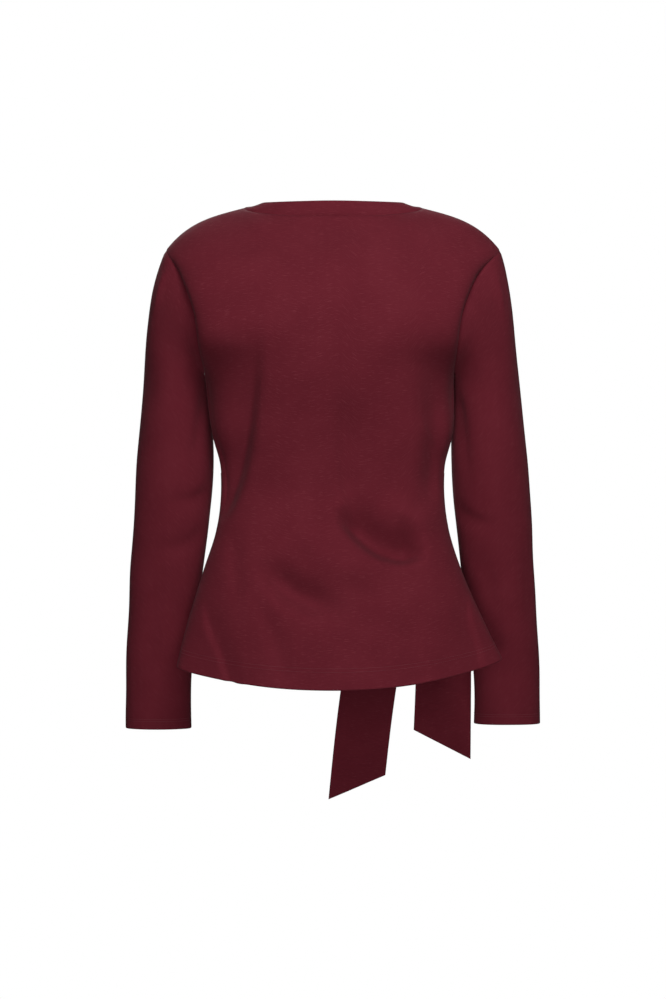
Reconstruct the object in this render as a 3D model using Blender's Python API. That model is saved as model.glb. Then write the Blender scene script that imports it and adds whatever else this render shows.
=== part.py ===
"""Long-sleeved jersey top with a sash tied in front, as separate sewn pieces of cloth.

Metres, +Z up. The front faces -Y, the wearer's left is +X, and the origin lies between the shoulders at
the height of the neck points, where a wearer carries the garment. It is hollow and keeps its worn form.
"""

import math
from collections import namedtuple

import bpy
import numpy as np
from mathutils import Vector
from mathutils.bvhtree import BVHTree

# Cloth and sewing
CLOTH = 0.0015
DOUBLE_CLOTH = 0.0022
SEAM_GAP = 0.0003

# Neck, measured at the seam between the panels and the neckband
NECK_HALF_WIDTH = 0.1137
NECK_DEPTH = {"back": 0.045, "front": -0.088}
NECK_DROP = {"back": 0.016, "front": 0.105}
BAND_WIDTH = 0.0207
BAND_CORNER_RISE = 0.0044
BAND_RISE = {"back": 0.0202, "front": 0.0188}

# Shoulder seam, from the neck point out to the sleeve
SHOULDER_RUN = 0.099
SHOULDER_FALL = 0.0267
SHOULDER_ROLL = 0.0279
SHOULDER_ROLL_POWER = 3.7
SHOULDER_RISE = 0.074

# A torso section is half of a rounded oblong on each side of the centre line
SQUARENESS = 2.4
HEM_FLARE_TURN = math.radians(23)
SECTION_SAMPLES = 240

# One row for each section. half is the width from the centre line to the side without the flare, and
# wrap is how far round the section the panel reaches: 90 degrees at a side seam, more at an armhole.
Section = namedtuple(
    "Section",
    "name back_z front_z left_z right_z left_half right_half flare "
    "back_side_y front_side_y back_y front_y wrap",
)
SECTIONS = (
    Section("hem", -0.607, -0.599, -0.582, -0.571, 0.150, 0.166, 0.048, 0.020, 0.020, 0.098, -0.096, 90),
    Section("hip", -0.548, -0.545, -0.530, -0.527, 0.157, 0.164, 0.028, 0.018, 0.018, 0.094, -0.101, 90),
    Section("high_hip", -0.468, -0.468, -0.461, -0.461, 0.159, 0.158, 0.005, 0.012, 0.012, 0.083, -0.099, 90),
    Section("low_waist", -0.411, -0.411, -0.410, -0.410, 0.148, 0.147, 0, 0.006, 0.006, 0.072, -0.093, 90),
    Section("waist", -0.353, -0.353, -0.353, -0.353, 0.142, 0.141, 0, 0.002, 0.002, 0.064, -0.088, 90),
    Section("high_waist", -0.328, -0.328, -0.328, -0.328, 0.1435, 0.1425, 0, 0.001, 0.001, 0.067, -0.091, 90),
    Section("ribs", -0.292, -0.294, -0.292, -0.292, 0.153, 0.1515, 0, 0.001, 0.001, 0.074, -0.098, 90),
    Section("underarm", -0.212, -0.222, -0.212, -0.212, 0.1632, 0.1535, 0, 0, 0, 0.092, -0.111, 90),
    Section("low_arm", -0.178, -0.192, -0.182, -0.182, 0.168, 0.1555, 0, 0.050, -0.048, 0.097, -0.109, 100),
    Section("mid_arm", -0.140, -0.162, -0.140, -0.140, 0.173, 0.161, 0, 0.064, -0.056, 0.098, -0.103, 103),
    Section("high_arm", -0.088, -0.132, -0.098, -0.098, 0.188, 0.177, 0, 0.048, -0.042, 0.087, -0.096, 94),
)
UNDERARM = [row.name for row in SECTIONS].index("underarm")
CORNER_SHARE = 0.86

# The way the cloth runs at a panel's top edge: up at the neck, slanting at its corner, over the shoulder.
# Each is (away from the centre line, toward the other panel, up).
TOP_UP = (0.0, 0.30, 0.90)
TOP_SLANT = (-0.70, 0.90, 0.40)
TOP_OVER = (0.0, 1.25, 0.20)
TOP_OVER_FROM = 0.6

# Largest folds, each along a path of points (x, z) across a panel. A positive height stands out of the
# cloth, and the widths reach to the left and right of the way the path runs.
Fold = namedtuple("Fold", "name path height left right fade_in fade_out")
BACK_FOLDS = (
    Fold("waist_pull", ((0.098, -0.126), (0.099, -0.195), (0.106, -0.259), (0.119, -0.330), (0.150, -0.405)),
         -0.0180, 0.046, 0.012, 0.75, 0.14),
    Fold("side_hollow", ((-0.118, -0.165), (-0.128, -0.235), (-0.130, -0.300), (-0.122, -0.392)),
         -0.0130, 0.017, 0.017, 0.60, 0.22),
    Fold("spine", ((-0.012, -0.215), (-0.015, -0.290), (-0.020, -0.355), (-0.038, -0.405)),
         -0.0070, 0.014, 0.030, 0.45, 0.20),
    Fold("hip_hollow", ((-0.004, -0.378), (-0.034, -0.414), (-0.058, -0.432), (-0.122, -0.430)),
         -0.0290, 0.011, 0.027, 0.30, 0.25),
    Fold("hip_roll", ((0.045, -0.395), (0.020, -0.433), (-0.020, -0.456), (-0.075, -0.464)),
         0.0050, 0.018, 0.022, 0.30, 0.35),
    Fold("low_trough", ((0.088, -0.436), (0.058, -0.480), (0.021, -0.499), (-0.029, -0.5175)),
         -0.0175, 0.017, 0.021, 0.35, 0.45),
)
FRONT_FOLDS = (
    Fold("pull_to_bust", ((-0.070, -0.340), (-0.030, -0.300), (0.010, -0.262), (0.066, -0.225)),
         -0.0050, 0.014, 0.017, 0.20, 0.50),
    Fold("pull_to_underarm", ((-0.076, -0.325), (-0.050, -0.268), (-0.034, -0.210), (-0.040, -0.150)),
         -0.0042, 0.014, 0.014, 0.20, 0.50),
    Fold("pull_to_hip", ((-0.072, -0.410), (-0.030, -0.455), (0.008, -0.510), (0.038, -0.580)),
         -0.0050, 0.014, 0.018, 0.20, 0.35),
    Fold("waist_pull", ((0.106, -0.170), (0.108, -0.250), (0.122, -0.335)),
         -0.0060, 0.014, 0.028, 0.45, 0.25),
)
FOLD_SAMPLES = 61
FOLD_WAY = (0.35, 1.0, 1.0)
FOLD_END = 0.10

# Sleeves, from the bicep to the cuff, one row for each ring, and the way the cloth leaves the armhole
Ring = namedtuple("Ring", "name z left_inner right_inner left_outer right_outer centre_y half_depth")
SLEEVE_RINGS = (
    Ring("bicep", -0.237, 0.1590, 0.1528, 0.2445, 0.2415, -0.034, 0.054),
    Ring("above_elbow", -0.298, 0.1536, 0.1523, 0.2500, 0.2485, -0.037, 0.049),
    Ring("elbow", -0.350, 0.1548, 0.1536, 0.2541, 0.2534, -0.040, 0.044),
    Ring("forearm", -0.400, 0.1598, 0.1585, 0.2574, 0.2563, -0.046, 0.040),
    Ring("mid_forearm", -0.462, 0.1680, 0.1661, 0.2626, 0.2607, -0.056, 0.035),
    Ring("low_forearm", -0.532, 0.1773, 0.1758, 0.2667, 0.2655, -0.069, 0.033),
    Ring("wrist", -0.603, 0.1849, 0.1839, 0.2705, 0.2701, -0.083, 0.030),
    Ring("cuff", -0.668, 0.1858, 0.1844, 0.2719, 0.2712, -0.093, 0.028),
)
CUFF_DROP = {"left": -0.003, "right": 0.003}
CUFF_DROP_FROM = 0.50
CUFF_DROP_TO = 0.65
UNDERARM_SET = (0.87, -0.22, -0.44)
SHOULDER_SET = {"left": (0.42, 0.0, -0.90), "right": (0.28, 0.0, -0.95)}
SHOULDER_PART = 0.5

# Sash: two folded ties sewn into the side seams, knotted in front, with their ends hanging
SASH_HEIGHT = -0.372
SASH_SIDE_WIDTH = 0.070
SASH_KNOT_WIDTH = 0.036
SASH_SEAM_INSET = 0.018
SASH_SEAM_THICKNESS = 0.0016
SASH_REST = 0.0006
SASH_PLEATS = 2
SASH_PLEAT_HEIGHT = 0.002
KNOT_SEAT_X = -0.0940
KNOT_HALF_SIZE = (0.025, 0.0135, 0.025)
KNOT_END_LEAN = math.radians(62)
KNOT_SQUARENESS = 2.6
KNOT_WRAPS = 2
KNOT_GROOVE = 0.10
KNOT_RINGS = 8
KNOT_SIDES = 18
TAIL_WIDTH = 0.073
TAIL_TOP_WIDTH = 0.024
TAIL_REST = 0.0016
TAIL_HANG_Y = -0.108
TAIL_SETTLE = 0.12
TAIL_PLEATS = 2
TAIL_PLEAT_HEIGHT = 0.002

# One row for each hanging end: where its middle passes, from the knot down, and its slanted cut
Tail = namedtuple("Tail", "name top_x spread middle low_left low_right")
TAILS = (
    Tail("tail_inner", -0.0915, (-0.0660, -0.510), (-0.0500, -0.600), (0.0060, -0.7668), (-0.0690, -0.7345)),
    Tail("tail_outer", -0.1180, (-0.1450, -0.510), (-0.1455, -0.600), (-0.1062, -0.6750), (-0.1812, -0.7135)),
)

# Mesh density
NECK_COLUMNS = 9
SHOULDER_COLUMNS = 9
SKIRT_ROWS = 23
ARMHOLE_ROWS = 12
SLEEVE_CAP_ROWS = 5
SLEEVE_ARM_ROWS = 12
BAND_ROWS = 2
SASH_ROWS = 6
LEAST_COLUMN = 0.2
TAIL_ROWS = 14
TAIL_COLUMNS = 6

WINE = (0.118, 0.0105, 0.0185, 1.0)
RIM_ANGLE = math.radians(50)
IN_FRONT = -0.5
SIDES = {"left": 1.0, "right": -1.0}


def side_value(row, side, field):
    """A section's or ring's value for the wearer's left or right."""
    return getattr(row, side + "_" + field)


def evenly(points, shares):
    """Points along a line at these shares of its length."""
    steps = np.linalg.norm(np.diff(points, axis=0), axis=1)
    lengths = np.concatenate([[0.0], np.cumsum(steps)])
    at = np.asarray(shares) * lengths[-1]
    return np.stack([np.interp(at, lengths, points[:, k]) for k in range(3)], axis=1)


def half_section(row, face, side, shares):
    """One torso section from the centre line to the panel's edge."""
    turn = np.linspace(0.0, math.radians(row.wrap), SECTION_SAMPLES)
    power = 2.0 / SQUARENESS
    mid_y = getattr(row, face + "_y")
    side_y = getattr(row, face + "_side_y")
    flare = row.flare * np.exp(-(((math.pi / 2 - turn) / HEM_FLARE_TURN) ** 2))
    x = side_value(row, side, "half") * np.sin(turn) ** power + flare
    x[0] = 0.0
    y = side_y + (mid_y - side_y) * np.sign(np.cos(turn)) * np.abs(np.cos(turn)) ** power
    line = np.stack([x * SIDES[side], y, np.zeros_like(x)], axis=1)
    points = evenly(line, shares)
    mid_z = getattr(row, face + "_z")
    points[:, 2] = mid_z + (side_value(row, side, "z") - mid_z) * np.asarray(shares) ** 2
    return points


def neck_seam(turn, face):
    """The neck seam: turn is 0 at the neck point and 90 degrees on the centre line."""
    down = np.sin(turn)
    across = NECK_HALF_WIDTH * np.cos(turn)
    return np.stack([across, NECK_DEPTH[face] * down, -NECK_DROP[face] * down], axis=-1)


def shoulder_seam(share):
    """The shoulder seam from the neck point (0) to the sleeve (1)."""
    fall = SHOULDER_FALL * share + SHOULDER_ROLL * share**SHOULDER_ROLL_POWER
    return np.stack([NECK_HALF_WIDTH + SHOULDER_RUN * share, np.zeros_like(share), -fall], axis=-1)


def top_edge(face, side, neck_shares, shoulder_shares):
    """The panel's top edge from the centre line: half the neck, then the shoulder seam."""
    neck = evenly(neck_seam(np.linspace(math.pi / 2, 0.0, SECTION_SAMPLES), face), neck_shares)
    shoulder = evenly(shoulder_seam(np.linspace(0.0, 1.0, SECTION_SAMPLES)), shoulder_shares)
    edge = np.concatenate([neck, shoulder[1:]])
    edge[:, 0] *= SIDES[side]
    return edge


def smoothstep(value, low, high):
    """0 below low, 1 above high, smooth between."""
    t = np.clip((value - low) / (high - low), 0.0, 1.0)
    return t * t * (3.0 - 2.0 * t)


def hermite(rows, stations, at, corner_row=None, corner=None, end_slope=None):
    """Smooth lines through the rows at their stations, read at the places in at.

    corner gives, for each column, how sharply the line may turn at corner_row.
    """
    gaps = np.diff(stations)[:, None, None]
    chords = np.diff(rows, axis=0) / gaps
    inner = (chords[:-1] * gaps[1:] + chords[1:] * gaps[:-1]) / (gaps[1:] + gaps[:-1])
    first = 1.5 * chords[:1] - 0.5 * inner[:1]
    last = 1.5 * chords[-1:] - 0.5 * inner[-1:] if end_slope is None else end_slope[None]
    arriving = np.concatenate([first, inner, last])
    leaving = arriving.copy()
    if corner_row is not None:
        weight = corner[:, None]
        arriving[corner_row] = arriving[corner_row] * (1 - weight) + chords[corner_row - 1] * weight
        leaving[corner_row] = leaving[corner_row] * (1 - weight) + chords[corner_row] * weight
    index = np.clip(np.searchsorted(stations, at, side="right") - 1, 0, len(stations) - 2)
    width = np.diff(stations)[index][:, None, None]
    t = ((at - stations[index]) / np.diff(stations)[index])[:, None, None]
    return (
        rows[index] * (2 * t**3 - 3 * t**2 + 1)
        + leaving[index] * width * (t**3 - 2 * t**2 + t)
        + rows[index + 1] * (3 * t**2 - 2 * t**3)
        + arriving[index + 1] * width * (t**3 - t**2)
    )


def panel_stations():
    """How far up the garment each section lies, the same for front and back, so their side seams meet."""
    heights = [(row.left_z + row.right_z) / 2 for row in SECTIONS]
    top = heights[-1] + SHOULDER_RISE
    return np.array(heights + [top]) - heights[0]


def panel_rows(skirt_rows=SKIRT_ROWS, armhole_rows=ARMHOLE_ROWS):
    """Where the rows of a panel lie: from the hem to the underarm, and on to the shoulder."""
    stations = panel_stations()
    skirt = np.linspace(0.0, stations[UNDERARM], skirt_rows + 1)
    return np.concatenate([skirt, np.linspace(stations[UNDERARM], stations[-1], armhole_rows + 1)[1:]])


def top_slope(face, side, neck_columns, shoulder_columns):
    """The way the cloth runs at each column of the top edge."""
    toward = -1.0 if face == "back" else 1.0
    up, slant, over = (np.array(way) * (SIDES[side], toward, 1.0) for way in (TOP_UP, TOP_SLANT, TOP_OVER))
    place = np.arange(neck_columns + shoulder_columns + 1) - neck_columns
    to_corner = smoothstep(place / neck_columns, -1.0, 0.0)[:, None]
    past_corner = smoothstep(place / shoulder_columns, 0.0, TOP_OVER_FROM)[:, None]
    return (up * (1 - to_corner) + slant * to_corner) * (1 - past_corner) + over * past_corner


def panel(face, at, neck_columns=NECK_COLUMNS, shoulder_columns=SHOULDER_COLUMNS):
    """The front or back panel as a grid of points, from the hem up and from its left to its right."""
    neck_shares = np.linspace(0.0, 1.0, neck_columns + 1)
    shoulder_shares = np.linspace(0.0, 1.0, shoulder_columns + 1)
    shares = np.linspace(0.0, 1.0, neck_columns + shoulder_columns + 1)
    corner = smoothstep(shares, CORNER_SHARE, 1.0)
    stations = panel_stations()
    halves = {}
    for side in SIDES:
        rows = [half_section(row, face, side, shares) for row in SECTIONS]
        rows.append(top_edge(face, side, neck_shares, shoulder_shares))
        slope = top_slope(face, side, neck_columns, shoulder_columns)
        halves[side] = hermite(np.array(rows), stations, at, UNDERARM, corner, slope)
    first, second = ("left", "right") if face == "back" else ("right", "left")
    grid = np.concatenate([halves[first][:, :0:-1], halves[second]], axis=1)
    folds = BACK_FOLDS if face == "back" else FRONT_FOLDS
    off_seam = smoothstep(1.0 - np.concatenate([shares[:0:-1], shares]), 0.0, FOLD_END)
    lift = fold_height(grid[..., [0, 2]], folds) * off_seam
    return grid + grid_normals(grid) * FOLD_WAY * lift[..., None]


def fold_line(fold):
    """Evenly spaced points along a fold, on a smooth curve through the points of its path."""
    corners = np.array(fold.path)
    steps = np.linalg.norm(np.diff(corners, axis=0), axis=1)
    lengths = np.concatenate([[0.0], np.cumsum(steps)])
    return hermite(corners[:, None], lengths, np.linspace(0.0, lengths[-1], FOLD_SAMPLES))[:, 0]


def fold_height(flat, folds):
    """How far the folds lift points that are given as places (x, z)."""
    lift = np.zeros(flat.shape[:-1])
    for fold in folds:
        line = fold_line(fold)
        way = np.gradient(line, axis=0)
        away = flat[..., None, :] - line
        nearest = np.linalg.norm(away, axis=-1).argmin(axis=-1)
        off = np.take_along_axis(away, nearest[..., None, None], -2)[..., 0, :]
        ahead = way[nearest]
        shift = np.clip(np.sum(off * ahead, axis=-1) / np.sum(ahead**2, axis=-1), -0.5, 0.5)
        off = off - ahead * shift[..., None]
        left = ahead[..., 0] * off[..., 1] - ahead[..., 1] * off[..., 0] > 0
        width = np.where(left, fold.left, fold.right)
        place = (nearest + shift) / (FOLD_SAMPLES - 1)
        fade = smoothstep(place, 0.0, fold.fade_in) * smoothstep(1 - place, 0.0, fold.fade_out)
        lift += fold.height * np.exp(-((np.linalg.norm(off, axis=-1) / width) ** 2)) * fade
    return lift


def unit(vectors):
    """Vectors of length one."""
    return vectors / np.linalg.norm(vectors, axis=-1, keepdims=True)


def along(points, closed, axis=0):
    """The direction of travel along rows of points."""
    if closed:
        return np.roll(points, -1, axis=axis) - np.roll(points, 1, axis=axis)
    return np.gradient(points, axis=axis)


def grid_normals(grid, closed=False):
    """Outward direction at each point of a grid whose rows run up and columns run to the right."""
    return unit(np.cross(along(grid, closed, axis=1), along(grid, False, axis=0)))


def border(grid):
    """Row and column numbers round the edge of a grid, anticlockwise from its first point."""
    rows, columns = grid.shape[0] - 1, grid.shape[1] - 1
    path = [(0, j) for j in range(columns)]
    path += [(i, columns) for i in range(rows)]
    path += [(rows, j) for j in range(columns, 0, -1)]
    path += [(i, 0) for i in range(rows, 0, -1)]
    return tuple(np.array(path).T)


def draw_in(grid, normals, gap):
    """Draws the sides and top of a panel in by gap, along the cloth, to leave room for the seams."""
    rows, columns = border(grid)
    edge = grid[rows, columns]
    inward = unit(np.cross(normals[rows, columns], along(edge, True)))
    seams = (rows > 0) | (columns == 0) | (columns == grid.shape[1] - 1)
    grid[rows[seams], columns[seams]] = (edge + inward * gap)[seams]


def mitre(first, second):
    """The direction of a seam's end face between two pieces that meet at an angle."""
    return (first + second) / (1.0 + np.sum(first * second, axis=-1, keepdims=True))


def cloth_material(name):
    """Matt wine jersey."""
    material = bpy.data.materials.new(name)
    material.use_nodes = True
    shader = material.node_tree.nodes["Principled BSDF"]
    shader.inputs["Base Color"].default_value = WINE
    shader.inputs["Roughness"].default_value = 0.85
    shader.inputs["Metallic"].default_value = 0.0
    return material


def add_object(name, points, faces):
    """A named object from points and faces, shaded smooth with sharp rims."""
    mesh = bpy.data.meshes.new(name)
    mesh.from_pydata([tuple(p) for p in points], [], faces)
    mesh.materials.append(cloth_material(name))
    mesh.shade_smooth()
    mesh.set_sharp_from_angle(angle=RIM_ANGLE)
    bpy.context.scene.collection.objects.link(bpy.data.objects.new(name, mesh))


def wall(name, outer, inner, closed=False):
    """A cloth wall between an outer and an inner grid. closed joins the last column to the first."""
    rows, columns = outer.shape[:2]
    count = rows * columns
    points = np.concatenate([outer.reshape(-1, 3), inner.reshape(-1, 3)])
    faces = []
    for i in range(rows - 1):
        for j in range(columns if closed else columns - 1):
            k = (j + 1) % columns
            a, b, c, d = i * columns + j, i * columns + k, (i + 1) * columns + k, (i + 1) * columns + j
            faces.append((a, b, c, d))
            faces.append((count + d, count + c, count + b, count + a))
    if closed:
        low = list(range(columns)) + [0]
        top = [(rows - 1) * columns + j for j in low]
        rims = [low, top[::-1]]
    else:
        path_rows, path_columns = border(outer)
        rim = list(path_rows * columns + path_columns)
        rims = [rim + rim[:1]]
    for rim in rims:
        for a, b in zip(rim, rim[1:]):
            faces.append((count + a, count + b, b, a))
    add_object(name, points, [tuple(int(i) for i in face) for face in faces])


def armhole(back, front, side):
    """The armhole as a loop: from the underarm up the back to the shoulder, and down the front."""
    column = 0 if side == "left" else -1
    up_back = back[SKIRT_ROWS:, column]
    down_front = front[SKIRT_ROWS:, -1 - column][::-1]
    return np.concatenate([up_back, down_front[1:-1]])


def set_armhole(back, front, side, loop):
    """Puts values for the armhole's points back in the panels' edges."""
    column = 0 if side == "left" else -1
    back[SKIRT_ROWS:, column] = loop[: ARMHOLE_ROWS + 1]
    front[SKIRT_ROWS:, -1 - column] = np.concatenate([loop[ARMHOLE_ROWS:], loop[:1]])[::-1]


def neck(back, front):
    """The neck seam as a loop: across the back from left to right, and back across the front."""
    inside = slice(SHOULDER_COLUMNS, -SHOULDER_COLUMNS)
    return np.concatenate([back[-1, inside], front[-1, inside][1:-1]])


def set_neck(back, front, loop):
    """Puts values for the neck seam's points back in the panels' edges."""
    inside = slice(SHOULDER_COLUMNS, -SHOULDER_COLUMNS)
    half = 2 * NECK_COLUMNS
    back[-1, inside] = loop[: half + 1]
    front[-1, inside] = np.concatenate([loop[half:], loop[:1]])


def join_seams(back, front):
    """Gives the two panels one end direction along their side and shoulder seams."""
    columns = 2 * (NECK_COLUMNS + SHOULDER_COLUMNS)
    skirt = [(i, j) for i in range(SKIRT_ROWS + 1) for j in (0, columns)]
    ends = range(SHOULDER_COLUMNS + 1)
    shoulders = [(-1, j) for j in ends] + [(-1, columns - j) for j in ends]
    for i, j in skirt + shoulders:
        both = mitre(back[i, j], front[i, columns - j])
        back[i, j] = both
        front[i, columns - j] = both


def sleeve_turns(count):
    """How far round a sleeve each of its columns lies: 0 at the underarm and pi at the shoulder."""
    return np.linspace(0.0, 2 * math.pi, count, endpoint=False)


def sleeve_ring(ring, side, turns):
    """One ring of a sleeve, on the wearer's left or right."""
    inner, outer = side_value(ring, side, "inner"), side_value(ring, side, "outer")
    x = (inner + outer) / 2 - (outer - inner) / 2 * np.cos(turns)
    y = ring.centre_y + ring.half_depth * np.sin(turns)
    drop = CUFF_DROP[side] * smoothstep(-ring.z, CUFF_DROP_FROM, CUFF_DROP_TO)
    return np.stack([x * SIDES[side], y, np.full_like(x, ring.z + drop)], axis=-1)


def sleeve(loop, side, cap_rows=SLEEVE_CAP_ROWS, arm_rows=SLEEVE_ARM_ROWS):
    """A sleeve's outer surface from the armhole down to the cuff."""
    turns = sleeve_turns(len(loop))
    rings = np.array([sleeve_ring(ring, side, turns) for ring in SLEEVE_RINGS])
    stations = np.array([SLEEVE_RINGS[0].z - ring.z for ring in SLEEVE_RINGS])
    arm = hermite(rings, stations, np.linspace(0.0, stations[-1], arm_rows + 1))
    upper = smoothstep(1 - np.abs(turns / math.pi - 1), SHOULDER_PART, 1.0)[:, None]
    leaving = np.array(UNDERARM_SET) * (1 - upper) + np.array(SHOULDER_SET[side]) * upper
    leaving = unit(leaving * np.array([SIDES[side], 1.0, 1.0]))
    chord = np.linalg.norm(rings[0] - loop, axis=-1, keepdims=True)
    arriving = unit(arm[1] - arm[0])
    t = np.linspace(0.0, 1.0, cap_rows + 1)[:-1, None, None]
    cap = (
        loop * (2 * t**3 - 3 * t**2 + 1)
        + leaving * chord * (t**3 - 2 * t**2 + t)
        + rings[0] * (3 * t**2 - 2 * t**3)
        + arriving * chord * (t**3 - t**2)
    )
    grid = np.concatenate([cap, arm])
    return grid, leaving


def neckband(seam):
    """The neckband's outer surface from the neck seam up, and the way it rises, in and up to a level edge."""
    across = np.clip(seam[:, 0] / NECK_HALF_WIDTH, -1.0, 1.0)
    middle = np.sqrt(1 - across**2)
    behind = seam[:, 1] > 0
    up = BAND_CORNER_RISE * (1 - middle) + np.where(behind, BAND_RISE["back"], BAND_RISE["front"]) * middle
    inward = np.sqrt(BAND_WIDTH**2 - up**2)
    rise = np.stack([-across * inward, np.where(behind, -middle, middle) * inward, up], axis=-1) / BAND_WIDTH
    steps = np.linspace(0.0, BAND_WIDTH, BAND_ROWS + 1)[:, None, None]
    return seam + rise * steps, rise


def at_height(grid, normals, column, z):
    """The point of a panel at a height on a column, which may lie between two, and its direction."""
    low = min(int(column), grid.shape[1] - 2)
    share = column - low
    line = grid[:, low] * (1 - share) + grid[:, low + 1] * share
    out = normals[:, low] * (1 - share) + normals[:, low + 1] * share
    point = [np.interp(z, line[:, 2], line[:, k]) for k in range(3)]
    way = [np.interp(z, line[:, 2], out[:, k]) for k in range(3)]
    return np.array(point), unit(np.array(way))


def column_at(grid, x, z):
    """The column of a panel that passes through x at a height."""
    across = [np.interp(z, grid[:, j, 2], grid[:, j, 0]) for j in range(grid.shape[1])]
    return float(np.interp(x, across, range(len(across))))


def pleats(shares, count, height):
    """Soft ridges across a folded tie."""
    return height * 0.5 * (1 - np.cos(2 * math.pi * count * shares))


def sash(name, front, normals, from_column, to_column):
    """A folded tie laid on the front panel's own columns, from the side seam to the knot."""
    first, last = sorted((from_column, to_column))
    whole = range(math.ceil(first + LEAST_COLUMN), math.ceil(last - LEAST_COLUMN))
    columns = [first] + [float(j) for j in whole] + [last]
    across = np.linspace(0.0, 1.0, SASH_ROWS + 1)
    outer = np.zeros((SASH_ROWS + 1, len(columns), 3))
    inner = np.zeros_like(outer)
    for j, column in enumerate(columns):
        share = smoothstep(abs(column - from_column) / abs(to_column - from_column), 0.0, 1.0)
        width = SASH_SIDE_WIDTH * (1 - share) + SASH_KNOT_WIDTH * share
        for i, place in enumerate(across):
            point, way = at_height(front, normals, column, SASH_HEIGHT + width * (place - 0.5))
            thickness = SASH_SEAM_THICKNESS * (1 - share) + DOUBLE_CLOTH * share
            thickness += pleats(place, SASH_PLEATS, SASH_PLEAT_HEIGHT * share)
            inner[i, j] = point + way * SASH_REST
            outer[i, j] = point + way * (SASH_REST + thickness)
    wall(name, outer, inner)


def knot(seat, way):
    """The knot, wrapped round itself, on the crossing of the two ties."""
    half_width, half_depth, half_height = KNOT_HALF_SIZE
    centre = seat + way * (SASH_REST + DOUBLE_CLOTH + SASH_PLEAT_HEIGHT / 2 + SEAM_GAP + half_depth)
    centre[2] = SASH_HEIGHT
    across = unit(np.array([-way[1], way[0], 0.0]))
    out = np.array([across[1], -across[0], 0.0])
    turns = np.linspace(0.0, 2 * math.pi, KNOT_SIDES, endpoint=False)
    power = 2.0 / KNOT_SQUARENESS
    rings = []
    for place in np.linspace(-1.0, 1.0, KNOT_RINGS + 1):
        lean = place * KNOT_END_LEAN
        size = math.cos(lean) ** power * (1 - KNOT_GROOVE * math.sin(math.pi * KNOT_WRAPS * place) ** 2)
        height = math.copysign(abs(math.sin(lean) / math.sin(KNOT_END_LEAN)) ** power, place)
        x = half_width * size * np.sign(np.cos(turns)) * np.abs(np.cos(turns)) ** power
        y = half_depth * size * np.sign(np.sin(turns)) * np.abs(np.sin(turns)) ** power
        ring = centre + x[:, None] * across - y[:, None] * out
        ring[:, 2] += half_height * height
        rings.append(ring)
    points = np.concatenate(rings)
    faces = []
    for i in range(KNOT_RINGS):
        for j in range(KNOT_SIDES):
            k = (j + 1) % KNOT_SIDES
            low, high = i * KNOT_SIDES, (i + 1) * KNOT_SIDES
            faces.append((low + j, low + k, high + k, high + j))
    faces.append(tuple(range(KNOT_SIDES))[::-1])
    faces.append(tuple(KNOT_RINGS * KNOT_SIDES + j for j in range(KNOT_SIDES)))
    add_object("sash_knot", points, faces)
    return centre, across


def front_tree():
    """The front panel's surface, to lay the hanging ends on."""
    mesh = bpy.data.objects["front_panel"].data
    return BVHTree.FromPolygons([v.co for v in mesh.vertices], [tuple(p.vertices) for p in mesh.polygons])


def front_y(tree, x, z, hem_z):
    """Where the front panel lies behind a hanging end. Below the hem there is nothing, so it hangs free."""
    hit = tree.ray_cast(Vector((x, IN_FRONT, max(z, hem_z))), Vector((0.0, 1.0, 0.0)))[0]
    return hit.y if hit else 0.0


def tail(row, tree, hem_z, centre, across):
    """A hanging end of the sash: down from the knot, over the hip, and free below the hem."""
    top_z = SASH_HEIGHT - KNOT_HALF_SIZE[2] - SEAM_GAP
    half = np.array([TAIL_WIDTH / 2, 0.0])
    top = np.array([row.top_x, top_z])
    top_half = np.array([TAIL_TOP_WIDTH / 2, 0.0])
    spread, middle = np.array(row.spread), np.array(row.middle)
    left = np.array([top + top_half, spread + half, middle + half, row.low_left])[:, None]
    right = np.array([top - top_half, spread - half, middle - half, row.low_right])[:, None]
    stations = np.concatenate([[0.0], np.cumsum(np.linalg.norm(np.diff(left[:, 0], axis=0), axis=1))])
    at = np.linspace(0.0, stations[-1], TAIL_ROWS + 1)
    edges = [hermite(edge, stations, at) for edge in (left, right)]
    share = np.linspace(0.0, 1.0, TAIL_COLUMNS + 1)[None, :, None]
    flat = edges[0] * (1 - share) + edges[1] * share
    lift = pleats(share[0, :, 0], TAIL_PLEATS, TAIL_PLEAT_HEIGHT)
    outer = np.zeros((TAIL_ROWS + 1, TAIL_COLUMNS + 1, 3))
    for j in range(TAIL_COLUMNS + 1):
        lowest = 0.0
        for i in range(TAIL_ROWS + 1):
            x, z = flat[i, j]
            hang = smoothstep(top_z - z, 0.0, TAIL_SETTLE)
            own = (centre[1] + (x - centre[0]) * across[1] / across[0]) * (1 - hang) + TAIL_HANG_Y * hang
            rest = front_y(tree, x, z, hem_z) - TAIL_REST - DOUBLE_CLOTH
            lowest = min(lowest, own, rest)
            outer[i, j] = (x, lowest - lift[j] * (1 - hang), z)
    wall(row.name, outer, outer + np.array([0.0, DOUBLE_CLOTH, 0.0]))


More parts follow.
